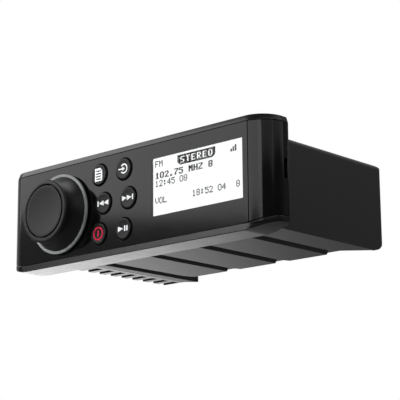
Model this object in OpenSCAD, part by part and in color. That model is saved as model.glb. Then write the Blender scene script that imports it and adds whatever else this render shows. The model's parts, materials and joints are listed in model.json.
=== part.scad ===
// Panel-mounted marine stereo: a moulded facia with a dial, six keys and a display,
// in front of a ribbed metal chassis with a finned heat sink.
// X runs to the right, Y to the back, Z up. The origin is the middle of the four panel
// screws, on the plane where the facia lies against the dashboard.

/* [Facia] */
// Width of the facia
facia_w = 187; // [184:0.5:194]
// Height of the facia
facia_h = 56.5; // [55:0.5:62]
// Depth of the facia from its face to the dashboard
facia_d = 17.4; // [17:0.1:20]
// Radius of the facia's ends, seen from above
end_r = 13.5; // [12:0.5:14.5]
// Height of the rims above and below the face
rim_h = 3; // [2.4:0.1:3.4]
// How far the rims lean back from the face
rim_lean = 1; // [0.6:0.1:2.4]
// Radius of the upward sweep at the lower corners
chin_r = 40; // [36:1:50]
// Length of the upward sweep at each lower corner
chin_run = 15.5; // [12:0.5:16]
// Width of the seams between the facia's mouldings
seam = 0.3; // [0.2:0.05:0.4]
// Thickness of the front panel
panel_t = 3; // [2.6:0.1:3.2]
// Thickness of the facia's rear wall
rear_t = 3; // [2.6:0.1:3.2]
// Ledge that the front panel sits on
ledge = 2.5; // [2:0.1:2.6]

/* [Screw covers] */
// Width of a screw cover on the face
cover_w = 11.5; // [10.5:0.5:12]
// Thickness of a screw cover
cover_t = 2.2; // [1.8:0.1:2.6]
// Height of the notch for prising a cover off
notch_h = 10; // [8:0.5:14]
// Depth of that notch
notch_d = 2.6; // [1.5:0.1:3.5]
// Height of the notch's middle
notch_z = 2; // [0:0.5:4]

/* [Panel screws] */
// Distance from the facia's end to the axis of a panel screw
screw_inset = 6.5; // [6:0.1:7]
// Distance between the upper and lower panel screws
screw_rise = 35; // [30:0.5:38]
// Diameter of a panel screw's hole
screw_hole_d = 4.6; // [4.2:0.1:5]
// Thickness of the facia where the panel screws pass
flange_d = 5; // [4:0.1:6]

/* [Dial] */
// Sideways place of the dial
dial_x = -48.5; // [-49.5:0.1:-48]
// Height of the dial's middle
dial_z = -1.1; // [-1.6:0.1:0]
// Radius of the dial's skirt
dial_r = 21.6; // [21:0.1:22.5]
// Radius of the dial's front rim
dial_front_r = 17; // [16:0.1:18]
// Radius of the dial's inset cap
dial_cap_r = 13.8; // [13:0.1:15]
// How far the dial stands out from the face
dial_d = 13.1; // [12:0.1:15]
// Gap between the face and the dial
dial_gap = 1.3; // [1.2:0.1:1.6]
// Width of the trim ring on the skirt
ring_w = 1.6; // [1:0.1:2]
// Diameter of the encoder's shaft
shaft_d = 6; // [5.5:0.1:6.4]
// Travel of the dial when it is pressed
dial_travel = 0.8; // [0.5:0.1:0.9]

/* [Keys] */
// Diameter of a key
key_d = 11.4; // [10:0.1:12]
// Gap between a key and the panel
key_gap = 0.45; // [0.35:0.05:0.6]
// How far a key stands out from the face
key_proud = 0.9; // [0.9:0.1:1.4]
// Travel of a key
key_travel = 0.8; // [0.5:0.1:0.8]
// Sideways place of the left column of keys
key_x = -19.5; // [-20:0.1:-19]
// Distance between the two columns of keys
key_column = 18.1; // [17:0.1:19]
// Distance from a rim to the middle of the outer keys
key_edge = 9.45; // [9:0.05:10.5]
// How far the middle row is shifted to the right
key_shift = 3.4; // [2:0.1:4]

/* [Display] */
// Width of the display
display_w = 60.2; // [56:0.1:61]
// Height of the display
display_h = 30; // [28:0.1:32]
// Distance from the display to the right screw cover
display_side = 3.3; // [2.9:0.1:5]
// Height of the display's middle
display_z = 2.5; // [1:0.1:3]
// Thickness of the clear window
window_t = 0.8; // [0.6:0.1:1.2]
// Thickness of the liquid crystal panel behind the front panel
lcd_t = 2.2; // [1.8:0.1:2.6]

/* [Boards] */
// Thickness of the circuit boards
board_t = 1.6; // [1.2:0.1:2]
// Height of a key switch with its plunger
switch_h = 4.3; // [4:0.1:4.4]

/* [Chassis] */
// Distance from the middle to the chassis's right wall
chassis_right = 81; // [79:0.5:81]
// Height of the chassis
chassis_h = 47; // [46:0.5:48]
// Depth of the chassis behind the dashboard plane
chassis_d = 95.5; // [94:0.5:100]
// Thickness of the chassis's walls
wall_t = 2.5; // [2:0.1:3]
// Thickness of the top cover and the rear panel
sheet_t = 2; // [1.6:0.1:2.4]
// Radius of the chassis's outer edges
edge_r = 3; // [2:0.1:4]
// Radius of the right wall's upper rear corner
crown_r = 4.8; // [3:0.1:6]
// Radius of the right wall's lower rear corner
heel_r = 8.5; // [6:0.1:9]
// Distance between the grooves under the chassis
land_pitch = 35.4; // [35:0.1:36]
// Width of those grooves
groove_w = 7.4; // [6:0.1:8]
// Depth of those grooves
groove_d = 4.4; // [4:0.1:5]
// Distance from the middle to the right side of the first groove
groove_x = 62; // [61:0.1:63]
// Depth of the middle lands behind the dashboard plane
land_d = 80; // [78:0.5:84]

/* [Heat sink] */
// Distance from the middle to the heat sink's inner face
sink_x = 57.5; // [57:0.1:58.5]
// Thickness of the heat sink's root
sink_root = 4; // [3.5:0.1:5]
// Length of the fins
fin_l = 12; // [9:0.5:14]
// Distance between the fins
fin_pitch = 8.8; // [8.6:0.1:9]
// Width of the gaps between the fins
fin_gap = 4.2; // [3:0.1:5]
// Distance from the fins to the rear of the chassis
fin_rear = 6.7; // [6:0.1:8]
// Number of gaps between the fins
fin_gaps = 10; // [6:1:10]

/* [Hidden] */
$fn = 64;

// Spare length of a cutting shape beyond the face that it cuts
over = 1;
// How far joined shapes of one solid reach into each other
sunk = 0.4;
// Radial gap between a screw and its hole
thread_gap = 0.05;
// Gap between a running shaft and its bearing
run_gap = 0.05;
// Gap between moulded pieces that are assembled and don't move
fit_gap = 0.15;

half_w = facia_w / 2;
half_h = facia_h / 2;
face_y = -facia_d;
panel_back = face_y + panel_t;
cover_x = half_w - cover_w;
// The wall between the display's space and a screw pocket
pocket_wall = 1;
cavity_wall = 0.8;
pocket_x = cover_x + pocket_wall;
cavity_x = cover_x - cavity_wall;
cavity_z = half_h - rim_h - ledge;
// The thin edge of the housing behind a screw cover
cover_lip = 1;
chin_rise = chin_r - sqrt(chin_r * chin_r - chin_run * chin_run);
// The sweep starts a touch below the straight edge, so the two meet at an angle
chin_sag = 0.04;
chin_lead = sqrt(2 * chin_r * chin_sag);

screw_x = half_w - screw_inset;
panel_screw_z = screw_rise / 2;

// Keys
key_r = key_d / 2;
key_hole_r = key_r + key_gap;
key_flange_w = 0.4;
key_flange_r = key_hole_r + key_flange_w;
key_flange_t = 1;
key_flange_gap = 0.3;
key_press_gap = 0.05;
key_edge_r = 0.4;
key_back = panel_back + key_flange_gap + key_flange_t;
key_row = half_h - rim_h - key_edge;
// Place of a key: column 0 is on the left, row 0 at the top, and the middle row is shifted
function key_place(column, row) = [
    key_x + column * key_column + (row == 1 ? key_shift : 0),
    (1 - row) * key_row
];
KEY_PLACES = [for (row = [0:2]) for (column = [0:1]) key_place(column, row)];

// Front board, as far behind the panel as the key switches need
switch_top = key_back + key_travel + key_press_gap;
board_front = switch_top + switch_h;
board_back = board_front + board_t;
board_gap_left = 3;
board_gap_right = 2;
board_gap_z = 0.8;
board_x0 = -cavity_x + board_gap_left;
board_x1 = cavity_x - board_gap_right;
board_z = cavity_z - board_gap_z;
switch_w = 6;
switch_plunger_h = 0.8;
switch_plunger_r = 1.7;
front_boss_r = 3;
front_screw_r = 1.2;
front_head_r = 2.4;
front_head_h = 1.6;
display_x = cover_x - display_side - display_w / 2;
lcd_border = 0.8;
window_sink = 0.2;
window_back = face_y + window_sink + window_t;
lcd_x0 = display_x - display_w / 2 - lcd_border;
lcd_x1 = display_x + display_w / 2 + lcd_border;
lcd_z0 = display_z - display_h / 2 - lcd_border;
lcd_z1 = display_z + display_h / 2 + lcd_border;
front_screw_edge = 3.5;
front_screw_side = 4.5;
front_screw_z = board_z - front_screw_edge;
// Two screws stand near the left end, and two between the keys and the display
FRONT_SCREWS = [
    for (x = [board_x0 + front_screw_side, lcd_x0 - front_screw_side])
        for (z = [-front_screw_z, front_screw_z]) [x, z]
];

// Dial and encoder
shaft_r = shaft_d / 2;
bush_wall = 1.4;
bush_r = shaft_r + run_gap + bush_wall;
nut_t = 2;
nut_wall = 2.2;
nut_r = bush_r + nut_wall;
bush_over = 0.5;
nut_space = 0.8;
encoder_w = 14;
rotor_r = 5;
rotor_t = 2.4;
rotor_gap = 0.3;
encoder_front = 1.4;
rotor_y0 = panel_back + encoder_front;
rotor_y1 = rotor_y0 + rotor_t;
shaft_flat = 1;
shaft_tail = 0.1;
shaft_back = rotor_y1 + shaft_tail;
// The flat reaches far enough forward for the whole press
flat_spare = 0.4;
flat_front = rotor_y0 - dial_travel - flat_spare;
dial_web = 3;
shaft_front = face_y - dial_d + dial_web;
dial_hollow_d = dial_gap + nut_t + bush_over + nut_space;
cap_t = 1;
cap_gap = 0.2;
// The rim's front edge lies a little behind the cap
front_step = 0.1;
ring_t = 1.1;
// The front rim stands out a little over the waist and is rounded at the front
rim_over = 0.4;
rim_back = 1.7;
rim_round = 1.2;
waist_r = dial_front_r - rim_over;
waist_d = dial_d - rim_back;
skirt_r = dial_r - ring_w;
flare_h = waist_d - dial_gap - ring_t;
flare_w = skirt_r - waist_r;
// Radius of the arc that leaves the waist along the axis and ends at the skirt
flare_r = (flare_h * flare_h + flare_w * flare_w) / (2 * flare_w);

// Chassis
top_z = chassis_h / 2;
bottom_z = -top_z;
floor_z = bottom_z + groove_d;
floor_top = floor_z + wall_t;
sheet_z = top_z - sheet_t;
inner_x = chassis_right - wall_t;
// The wall is thick enough at its top for the rounded edge
lip_spare = 0.5;
lip_x = chassis_right - max(wall_t, edge_r) - lip_spare;
shelf_w = 6;
shelf_h = 2.5;
rear_y = chassis_d - sheet_t;
rear_x = min(inner_x, chassis_right - edge_r) - fit_gap;
root_x = sink_x + sink_root;
fin_tip_x = root_x + fin_l;
fin_front = 0.6;
fin_back = chassis_d - fin_rear;
last_fin_t = 1.4;
last_gap_y = fin_back - fin_gap / 2 - last_fin_t;
sink_screw_x = -root_x + sink_root / 2;
// The cut-off rear corner of a land
land_cut_x = 2.5;
land_cut_y = 7;
groove_slope = 2;
groove_count = 4;
// The right land runs on to the rear corner of the wall, and the left one to a point
land_tail = chassis_d - heel_r;
land_tip_inset = 1;
land_tip = chassis_d - land_tip_inset;
wall_edge = 0.8;
rear_post_w = 4;
rear_post_d = 10;
cover_screw_edge = 3;
cover_screw_x = lip_x - cover_screw_edge;
post_screw_x = inner_x - rear_post_w / 2;
post_screw_z = 12;

// Gasket between the facia and the dashboard
gasket_w = 1.6;
gasket_t = 1.2;
gasket_side = 0.8;
gasket_rise = 1;
gasket_x = chassis_right + gasket_side;
gasket_z = top_z + gasket_rise;

// Main board
board_lift = 3.1;
main_z0 = floor_top + board_lift;
main_z1 = main_z0 + board_t;
main_gap_left = 1.5;
main_gap_right = 5;
main_gap_front = 3.5;
main_gap_rear = 6;
main_x0 = -sink_x + main_gap_left;
main_x1 = inner_x - main_gap_right;
main_y0 = wall_t + main_gap_front;
main_y1 = rear_y - main_gap_rear;
main_boss_r = 3;
main_screw_r = 1.25;
main_head_r = 2.6;
main_head_h = 1.6;
main_screw_edge = 5;
// The right rear screw stands in front of the harness socket
main_screw_rear = 30;
MAIN_SCREWS = [
    [main_x0 + main_screw_edge, main_y0 + main_screw_edge],
    [main_x1 - main_screw_edge, main_y0 + main_screw_edge],
    [main_x0 + main_screw_edge, main_y1 - main_screw_edge],
    [main_x1 - main_screw_edge, main_y1 - main_screw_rear]
];

// Link between the two boards
link_w = 30;
link_x = -10;
link_wall = 1;
link_z0 = main_z1 + link_wall;
link_h = 7;
link_end = main_y0 + link_wall;
link_gap = 1.5;
link_socket_d = 7;

// Chassis screws and their heads
chassis_screw_r = 1.4;
chassis_head_r = 2.8;
chassis_head_h = 1.6;
chassis_tip_gap = 0.4;
chassis_screw_in = rear_t - chassis_tip_gap;
chassis_screw_side = 9;
CHASSIS_SCREWS = [
    [-sink_x + chassis_screw_side, post_screw_z], [-sink_x + chassis_screw_side, -post_screw_z],
    [inner_x - chassis_screw_side, post_screw_z], [inner_x - chassis_screw_side, -post_screw_z]
];
small_screw_r = 0.85;
small_head_r = 1.5;
small_head_h = 1.1;
small_screw_l = 8;
cover_screw_front = 14;
cover_screw_rear = 15;
cover_screw_last = chassis_d - cover_screw_rear;
COVER_SCREW_Y = [cover_screw_front, (cover_screw_front + cover_screw_last) / 2, cover_screw_last];
cover_screw_l = 4;

// Amplifier
chip_w = 32;
chip_h = 20;
chip_t = 4.5;
chip_y = 30;
lead_h = 2.4;
lead_count = 12;
lead_w = 0.8;
lead_t = 0.5;
// How far the leads lie behind the chip's face
lead_inset = 1;
chip_z0 = main_z1 + lead_h;
clamp_t = 1.5;
clamp_h = 8;
clamp_over = 8;
clamp_z = chip_z0 + chip_h / 2;
clamp_screw_r = 1.5;
clamp_head_r = 2.8;
clamp_head_h = 1.6;
clamp_bite = 3;
chip_face = -sink_x + chip_t;
CLAMP_SCREW_Y = [chip_y - clamp_over / 2, chip_y + chip_w + clamp_over / 2];

// Parts that stand on the main board
cap_can_r = 8;
cap_can_h = 24;
can_groove_r = 0.7;
can_groove_z = 3;
can_side = 28;
can_front = 16;
can_pitch = 20;
can_count = 3;
CAPACITORS = [
    for (i = [0:can_count - 1]) [main_x0 + can_side, main_y0 + can_front + i * can_pitch]
];
coil_r = 9;
coil_wire_r = 4;
coil_side = 50;
coil_front = 44;
tuner_w = 34;
tuner_d = 24;
tuner_h = 11;
tuner_side = 9.5;
tuner_front = 30;
tuner_corner = 1.5;
processor_w = 14;
processor_t = 1.6;
processor_side = 64;
processor_front = 22;

// Sockets in the rear panel
socket_gap = 0.4;
harness_x = 54;
harness_w = 32;
harness_h = 15;
harness_z0 = main_z1;
harness_d = 20;
harness_out = 3;
contact_w = 2.2;
contact_d = 9;
contact_columns = 8;
contact_pitch = 3.5;
contact_row = 6.5;
line_x = 12;
line_pitch = 13;
line_block_d = 11;
line_tube_r = 4.15;
line_tube_out = 8.5;
line_hole_r = 1.6;
line_rise = 7;
line_block_over = 6.5;
line_z0 = main_z1 + line_rise;
antenna_x = -16;
antenna_z = 2;
antenna_r = 6.4;
antenna_bore_r = 4.6;
antenna_bore_d = 13;
antenna_out = 6;
antenna_floor = 2.5;
antenna_block_over = 1.5;
network_x = -38;
network_z = 2;
network_r = 6;
network_flange_r = 8.5;
network_flange_t = 2;
network_out = 9;
network_block_d = 8;
network_insert_r = 4.2;
network_insert_sink = 2;
network_pin_r = 0.55;
network_pin_circle = 2.4;
network_pin_d = 4;
network_pins = 5;

// A box given by its two corners
module slab(x0, x1, y0, y1, z0, z1) {
    translate([x0, y0, z0]) cube([x1 - x0, y1 - y0, z1 - z0]);
}

// A drawing in X and Z, carried along Y
module along_y(y0, y1) {
    translate([0, y1, 0]) rotate([90, 0, 0]) linear_extrude(y1 - y0) children();
}

// A round bar along Y
module bar_y(x, z, y0, y1, r) {
    translate([x, y1, z]) rotate([90, 0, 0]) cylinder(h = y1 - y0, r = r);
}

// A profile of radius and height above the face, turned about an axis along Y
module turned(x, z) {
    translate([x, face_y, z]) rotate([90, 0, 0]) rotate_extrude() children();
}

// A screw along Y with its head at the given end
module screw_y(x, z, tip, seat, r, head_r, head_h) {
    bar_y(x, z, min(tip, seat), max(tip, seat), r);
    if (tip < seat) bar_y(x, z, seat, seat + head_h, head_r);
    else bar_y(x, z, seat - head_h, seat, head_r);
}

// A screw along Z with its head on top
module screw_z(x, y, tip, seat, r, head_r, head_h) {
    translate([x, y, tip]) cylinder(h = seat - tip, r = r);
    translate([x, y, seat]) cylinder(h = head_h, r = head_r);
}

// Outline of the facia from above, drawn in by a margin at the front and the ends
module facia_plan(margin) {
    translate([-half_w + margin, face_y + end_r]) square([facia_w - 2 * margin, facia_d - end_r]);
    translate([-half_w + end_r, face_y + margin]) square([facia_w - 2 * end_r, facia_d - margin]);
    for (s = [-1, 1])
        translate([s * (half_w - end_r), face_y + end_r]) circle(end_r - margin);
}

// Outline of the facia from the front, drawn in at the top and the bottom
module facia_front(margin) {
    low = -half_h + margin;
    difference() {
        translate([-half_w - over, low]) square([facia_w + 2 * over, facia_h - 2 * margin]);
        for (s = [-1, 1]) difference() {
            translate([s * (half_w - chin_run / 2 + over) - chin_run / 2 - over, low - over])
                square([chin_run + 2 * over, chin_rise + 2 * over]);
            translate([s * (half_w - chin_run - chin_lead), low + chin_r - chin_sag])
                circle(chin_r, $fn = 160);
        }
    }
}

// Everything between the upper and lower seams, from one depth to another
module face_band(margin, y0, y1) {
    along_y(y0, y1) facia_front(margin);
}

// The wedge that gives a rim its lean, carried round the front and both ends
module rim_cut(s) {
    z1 = half_h - rim_h;
    lean = rim_lean * (rim_h + over) / rim_h;
    wedge = [[0, s * z1], [over, s * z1], [over, s * (half_h + over)], [-lean, s * (half_h + over)]];
    straight = half_w - end_r;
    translate([-straight, 0, 0]) rotate([90, 0, 90]) linear_extrude(2 * straight)
        polygon([for (p = wedge) [face_y - p[0], p[1]]]);
    for (e = [-1, 1]) {
        translate([e * straight, face_y + end_r, 0]) rotate([0, 0, e > 0 ? -90 : 180])
            rotate_extrude(angle = 90) polygon([for (p = wedge) [end_r + p[0], p[1]]]);
        translate([0, over, 0]) rotate([90, 0, 0]) linear_extrude(facia_d - end_r + over)
            polygon([for (p = wedge) [e * (half_w + p[0]), p[1]]]);
    }
}

module gasket_ring(y0, y1, grow) {
    x = gasket_x - grow;
    z = gasket_z - grow;
    w = gasket_w + 2 * grow;
    along_y(y0, y1) difference() {
        translate([-x - w, -z - w]) square([2 * (x + w), 2 * (z + w)]);
        translate([-x, -z]) square([2 * x, 2 * z]);
    }
}

// Moulded housing of the facia, with its rims, screw flanges and rear wall
module facia_housing() {
    color("#33353a") difference() {
        union() {
            difference() {
                intersection() {
                    translate([0, 0, -half_h]) linear_extrude(facia_h) facia_plan(0);
                    face_band(0, face_y - over, 0);
                }
                for (s = [-1, 1]) rim_cut(s);
                // Seat of the front panel
                intersection() {
                    face_band(rim_h, face_y - over, panel_back);
                    slab(-pocket_x, pocket_x, face_y - over, panel_back, -half_h, half_h);
                }
                // Space for the boards and the display
                slab(-cavity_x, cavity_x, panel_back - over, -rear_t, -cavity_z, cavity_z);
                // Pockets over the panel screws, and the seat of the covers round the ends
                for (s = [-1, 1]) intersection() {
                    face_band(rim_h, face_y - over, -cover_lip);
                    translate([s * ((pocket_x + half_w) / 2 + over), 0, 0])
                        cube([half_w - pocket_x + 2 * over, 2 * facia_d, facia_h], center = true);
                    difference() {
                        slab(-half_w - over, half_w + over, face_y - over, -cover_lip, -half_h, half_h);
                        intersection() {
                            translate([0, 0, -half_h]) linear_extrude(facia_h)
                                facia_plan(cover_t + fit_gap);
                            slab(-half_w, half_w, -flange_d, 0, -half_h, half_h);
                        }
                    }
                }
            }
            for (p = FRONT_SCREWS) bar_y(p[0], p[1], board_back, -rear_t, front_boss_r);
        }
        for (p = FRONT_SCREWS)
            bar_y(p[0], p[1], board_back - over, -rear_t / 2, front_screw_r + thread_gap);
        for (p = CHASSIS_SCREWS)
            bar_y(p[0], p[1], -rear_t - over, over, chassis_screw_r + thread_gap);
        for (x = [-screw_x, screw_x]) for (z = [-panel_screw_z, panel_screw_z])
            bar_y(x, z, -flange_d - over, over, screw_hole_d / 2);
        link_window(-rear_t - over, over);
        gasket_ring(-gasket_t, over, 0);
    }
}

module link_window(y0, y1) {
    slab(
        link_x - link_w / 2 - link_gap, link_x + link_w / 2 + link_gap, y0, y1,
        link_z0 - link_gap, link_z0 + link_h + link_gap
    );
}

// Face of the stereo, with holes for the dial, the keys and the display
module front_panel() {
    x = cover_x - seam / 2;
    color("#2b2c30") difference() {
        intersection() {
            face_band(rim_h + seam, face_y, panel_back);
            slab(-x, x, face_y - over, panel_back + over, -half_h, half_h);
        }
        for (p = KEY_PLACES) bar_y(p[0], p[1], face_y - over, panel_back + over, key_hole_r);
        bar_y(dial_x, dial_z, face_y - over, panel_back + over, bush_r + fit_gap);
        along_y(face_y - over, panel_back + over) display_plan(0);
    }
}

// Snap-on cover over the panel screws at one end
module screw_cover(s) {
    x0 = cover_x + seam / 2;
    rear = -cover_lip - seam;
    color("#2e2f33") intersection() {
        difference() {
            translate([0, 0, -half_h]) linear_extrude(facia_h) difference() {
                facia_plan(0);
                facia_plan(cover_t);
            }
            slab(
                -half_w - over, half_w + over, rear - notch_d, rear + over,
                notch_z - notch_h / 2, notch_z + notch_h / 2
            );
        }
        face_band(rim_h + seam, face_y - over, rear);
        translate([s * (x0 + half_w) / 2, 0, 0])
            cube([half_w - x0, 2 * facia_d, facia_h], center = true);
    }
}

module left_screw_cover() { screw_cover(-1); }
module right_screw_cover() { screw_cover(1); }

// Front view of the display, drawn in by a margin
module display_plan(margin) {
    translate([display_x - display_w / 2 + margin, display_z - display_h / 2 + margin])
        square([display_w - 2 * margin, display_h - 2 * margin]);
}

// Clear window in front of the display
module display_window() {
    color("#c9d3d6") along_y(face_y + window_sink, window_back) display_plan(fit_gap);
}

// Liquid crystal panel, whose front part stands in the panel's opening
module lcd_panel() {
    color("#dfe6e6") {
        slab(lcd_x0, lcd_x1, panel_back, panel_back + lcd_t, lcd_z0, lcd_z1);
        along_y(window_back, panel_back + sunk) display_plan(fit_gap);
    }
}

module lcd_light_guide() {
    color("white") slab(lcd_x0, lcd_x1, panel_back + lcd_t, board_front, lcd_z0, lcd_z1);
}

// Turning knob with a skirt that flares out towards the face
module dial_knob() {
    top = dial_d - front_step;
    color("#222326") turned(dial_x, dial_z) difference() {
        union() {
            translate([0, dial_gap]) square([waist_r, waist_d - dial_gap]);
            translate([0, waist_d]) square([dial_front_r, top - waist_d - rim_round]);
            translate([0, waist_d]) square([dial_front_r - rim_round, top - waist_d]);
            translate([dial_front_r - rim_round, top - rim_round]) circle(rim_round, $fn = 48);
            translate([0, dial_gap]) square([skirt_r, ring_t]);
            difference() {
                translate([waist_r - over, dial_gap + ring_t])
                    square([flare_w + over, flare_h]);
                translate([waist_r + flare_r, waist_d]) circle(flare_r, $fn = 96);
            }
        }
        translate([-over, top - cap_t + front_step]) square([dial_cap_r + cap_gap + over, 2 * cap_t]);
        translate([-over, -over]) square([shaft_r + run_gap + over, dial_d - dial_web + over]);
        translate([-over, -over]) square([nut_r + nut_space + over, dial_hollow_d + over]);
    }
}

// Pale trim ring on the skirt's edge
module dial_ring() {
    color("#8f9396") turned(dial_x, dial_z) translate([skirt_r + run_gap, dial_gap])
        square([ring_w - run_gap, ring_t]);
}

// Inset disc on the dial's front
module dial_cap() {
    base = dial_d - cap_t;
    bevel = 0.3;
    color("#3a3b3e") turned(dial_x, dial_z) polygon([
        [0, base], [dial_cap_r, base], [dial_cap_r, dial_d - bevel],
        [dial_cap_r - bevel, dial_d], [0, dial_d]
    ]);
}

// Shaft of the encoder, flat on one side inside the rotor
module encoder_shaft() {
    color("#b9bcc0") difference() {
        bar_y(dial_x, dial_z, shaft_front, shaft_back, shaft_r);
        slab(
            dial_x - shaft_r, dial_x + shaft_r, flat_front, shaft_back + over,
            dial_z + shaft_r - shaft_flat, dial_z + shaft_r + over
        );
    }
}

// Ring inside the encoder that turns with the shaft and lets it slide
module encoder_rotor() {
    color("#d8d4c4") difference() {
        bar_y(dial_x, dial_z, rotor_y0, rotor_y1, rotor_r);
        difference() {
            bar_y(dial_x, dial_z, rotor_y0 - over, rotor_y1 + over, shaft_r + run_gap);
            slab(
                dial_x - rotor_r, dial_x + rotor_r, rotor_y0 - 2 * over, rotor_y1 + 2 * over,
                dial_z + shaft_r - shaft_flat + run_gap, dial_z + rotor_r
            );
        }
    }
}

// Encoder with its threaded bush, fixed to the front board
module encoder_body() {
    side = encoder_w / 2;
    bush_front = face_y - nut_t - bush_over;
    color("#4f7a52") difference() {
        union() {
            slab(dial_x - side, dial_x + side, panel_back, board_front, dial_z - side, dial_z + side);
            bar_y(dial_x, dial_z, bush_front, panel_back, bush_r);
        }
        bar_y(dial_x, dial_z, bush_front - over, rotor_y0, shaft_r + run_gap);
        bar_y(dial_x, dial_z, rotor_y0 - rotor_gap, rotor_y1 + rotor_gap, rotor_r + rotor_gap);
        bar_y(dial_x, dial_z, rotor_y1, shaft_back + dial_travel + rotor_gap, shaft_r + rotor_gap);
    }
}

// Hexagonal nut that holds the encoder to the panel
module encoder_nut() {
    color("#a9adb1") difference() {
        translate([dial_x, face_y, dial_z]) rotate([90, 0, 0]) cylinder(h = nut_t, r = nut_r, $fn = 6);
        bar_y(dial_x, dial_z, face_y - nut_t - over, face_y + over, bush_r + thread_gap);
    }
}

// A round key with a flange behind the panel
module round_key(p) {
    flange_front = -panel_t - key_flange_gap;
    color("#3c3d41") turned(p[0], p[1]) union() {
        translate([0, flange_front - key_flange_t]) square([key_flange_r, key_flange_t]);
        translate([0, flange_front]) square([key_r, key_proud - key_edge_r - flange_front]);
        translate([0, key_proud - 2 * key_edge_r]) square([key_r - key_edge_r, 2 * key_edge_r]);
        translate([key_r - key_edge_r, key_proud - key_edge_r]) circle(key_edge_r, $fn = 32);
    }
}

module menu_key() { round_key(key_place(0, 0)); }
module source_key() { round_key(key_place(1, 0)); }
module previous_key() { round_key(key_place(0, 1)); }
module next_key() { round_key(key_place(1, 1)); }
module power_key() { round_key(key_place(0, 2)); }
module play_key() { round_key(key_place(1, 2)); }

module front_board() {
    color("#1f5b3a") difference() {
        slab(board_x0, board_x1, board_front, board_back, -board_z, board_z);
        for (p = FRONT_SCREWS)
            bar_y(p[0], p[1], board_front - over, board_back + over, front_screw_r + fit_gap);
    }
}

// One key switch behind each key
module key_switches() {
    side = switch_w / 2;
    color("#8d8f92") for (p = KEY_PLACES) {
        slab(
            p[0] - side, p[0] + side, switch_top + switch_plunger_h, board_front,
            p[1] - side, p[1] + side
        );
        bar_y(p[0], p[1], switch_top, switch_top + switch_plunger_h, switch_plunger_r);
    }
}

module front_board_screws() {
    color("#c4c7ca") for (p = FRONT_SCREWS)
        screw_y(p[0], p[1], -rear_t / 2 - fit_gap, board_front, front_screw_r, front_head_r, front_head_h);
}

// Plug on the front board that reaches through the rear wall
module link_header() {
    color("#e6e1d2") slab(
        link_x - link_w / 2, link_x + link_w / 2, board_back, link_end,
        link_z0, link_z0 + link_h
    );
}

// Socket on the main board that takes the plug
module link_socket() {
    color("#d9d3c0") slab(
        link_x - link_w / 2 - link_wall, link_x + link_w / 2 + link_wall,
        link_end, link_end + link_socket_d, main_z1, link_z0 + link_h + link_wall
    );
}

// Soft seal in a groove round the chassis
module panel_gasket() {
    color("#17181a") gasket_ring(-gasket_t, 0, 0);
}

// Right side of a groove under the chassis
function groove_right(i) = groove_x - i * land_pitch;

// Plan of the land to the left of a groove, up to the next groove or the heat sink
module land_plan(x0, x1) {
    polygon([
        [x0, 0], [x1, 0], [x1, land_d], [x0 + land_cut_x, land_d], [x0, land_d - land_cut_y]
    ]);
}

// Section of one groove, steep on its left side
module groove_section(i) {
    right = groove_right(i);
    polygon([
        [right, bottom_z - over], [right, floor_z],
        [right - groove_w + groove_slope, floor_z],
        [right - groove_w, bottom_z], [right - groove_w, bottom_z - over]
    ]);
}

// Cast tray of the chassis: floor with broad lands, front wall and right wall
module chassis_base() {
    left_land = groove_right(groove_count - 1) - groove_w;
    color("#3d3b40") difference() {
        union() {
            intersection() {
                along_y(0, chassis_d) wall_section();
                translate([0, 0, bottom_z]) linear_extrude(chassis_h) chassis_plan();
                translate([-sink_x, 0, 0]) rotate([90, 0, 90])
                    linear_extrude(sink_x + chassis_right) chassis_side();
            }
            // Lands
            difference() {
                union() {
                    for (i = [1:groove_count - 1])
                        translate([0, 0, bottom_z]) linear_extrude(groove_d + sunk)
                            land_plan(groove_right(i), groove_right(i - 1));
                    translate([0, 0, bottom_z]) linear_extrude(groove_d + sunk) polygon([
                        [groove_x, 0], [inner_x + sunk, 0], [inner_x + sunk, land_tail],
                        [groove_x, land_d - land_cut_y]
                    ]);
                    translate([0, 0, bottom_z]) linear_extrude(groove_d + sunk) polygon([
                        [-sink_x, 0], [groove_right(groove_count - 1), 0],
                        [groove_right(groove_count - 1), land_d],
                        [left_land, land_tip], [-sink_x, fin_back]
                    ]);
                }
                for (i = [0:groove_count - 1])
                    along_y(-over, chassis_d + over) groove_section(i);
            }
            // Front wall
            slab(-root_x, inner_x + sunk, 0, wall_t, floor_z, sheet_z);
            // Ledge under the top cover, and the post for the rear panel
            slab(inner_x - shelf_w, inner_x + sunk, 0, rear_y, sheet_z - shelf_h, sheet_z);
            slab(
                inner_x - rear_post_w, inner_x + sunk, rear_y - rear_post_d, rear_y,
                floor_top - sunk, sheet_z - sunk
            );
            for (p = MAIN_SCREWS)
                translate([p[0], p[1], floor_top - sunk])
                    cylinder(h = board_lift + sunk, r = main_boss_r);
        }
        for (p = MAIN_SCREWS)
            translate([p[0], p[1], floor_z + wall_t / 2])
                cylinder(h = board_lift + wall_t, r = main_screw_r + thread_gap);
        for (p = CHASSIS_SCREWS)
            bar_y(p[0], p[1], -over, wall_t + over, chassis_screw_r + fit_gap);
        for (z = [-post_screw_z, post_screw_z]) {
            bar_y(sink_screw_x, z, -over, wall_t + over, small_screw_r + thread_gap);
            bar_y(sink_screw_x, z, -over, small_head_h, small_head_r + fit_gap);
            bar_y(post_screw_x, z, rear_y - small_screw_l, rear_y + over, small_screw_r + thread_gap);
        }
        for (y = COVER_SCREW_Y)
            translate([cover_screw_x, y, sheet_z - cover_screw_l])
                cylinder(h = cover_screw_l + over, r = small_screw_r + thread_gap);
        link_window(-over, wall_t + over);
    }
}

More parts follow.
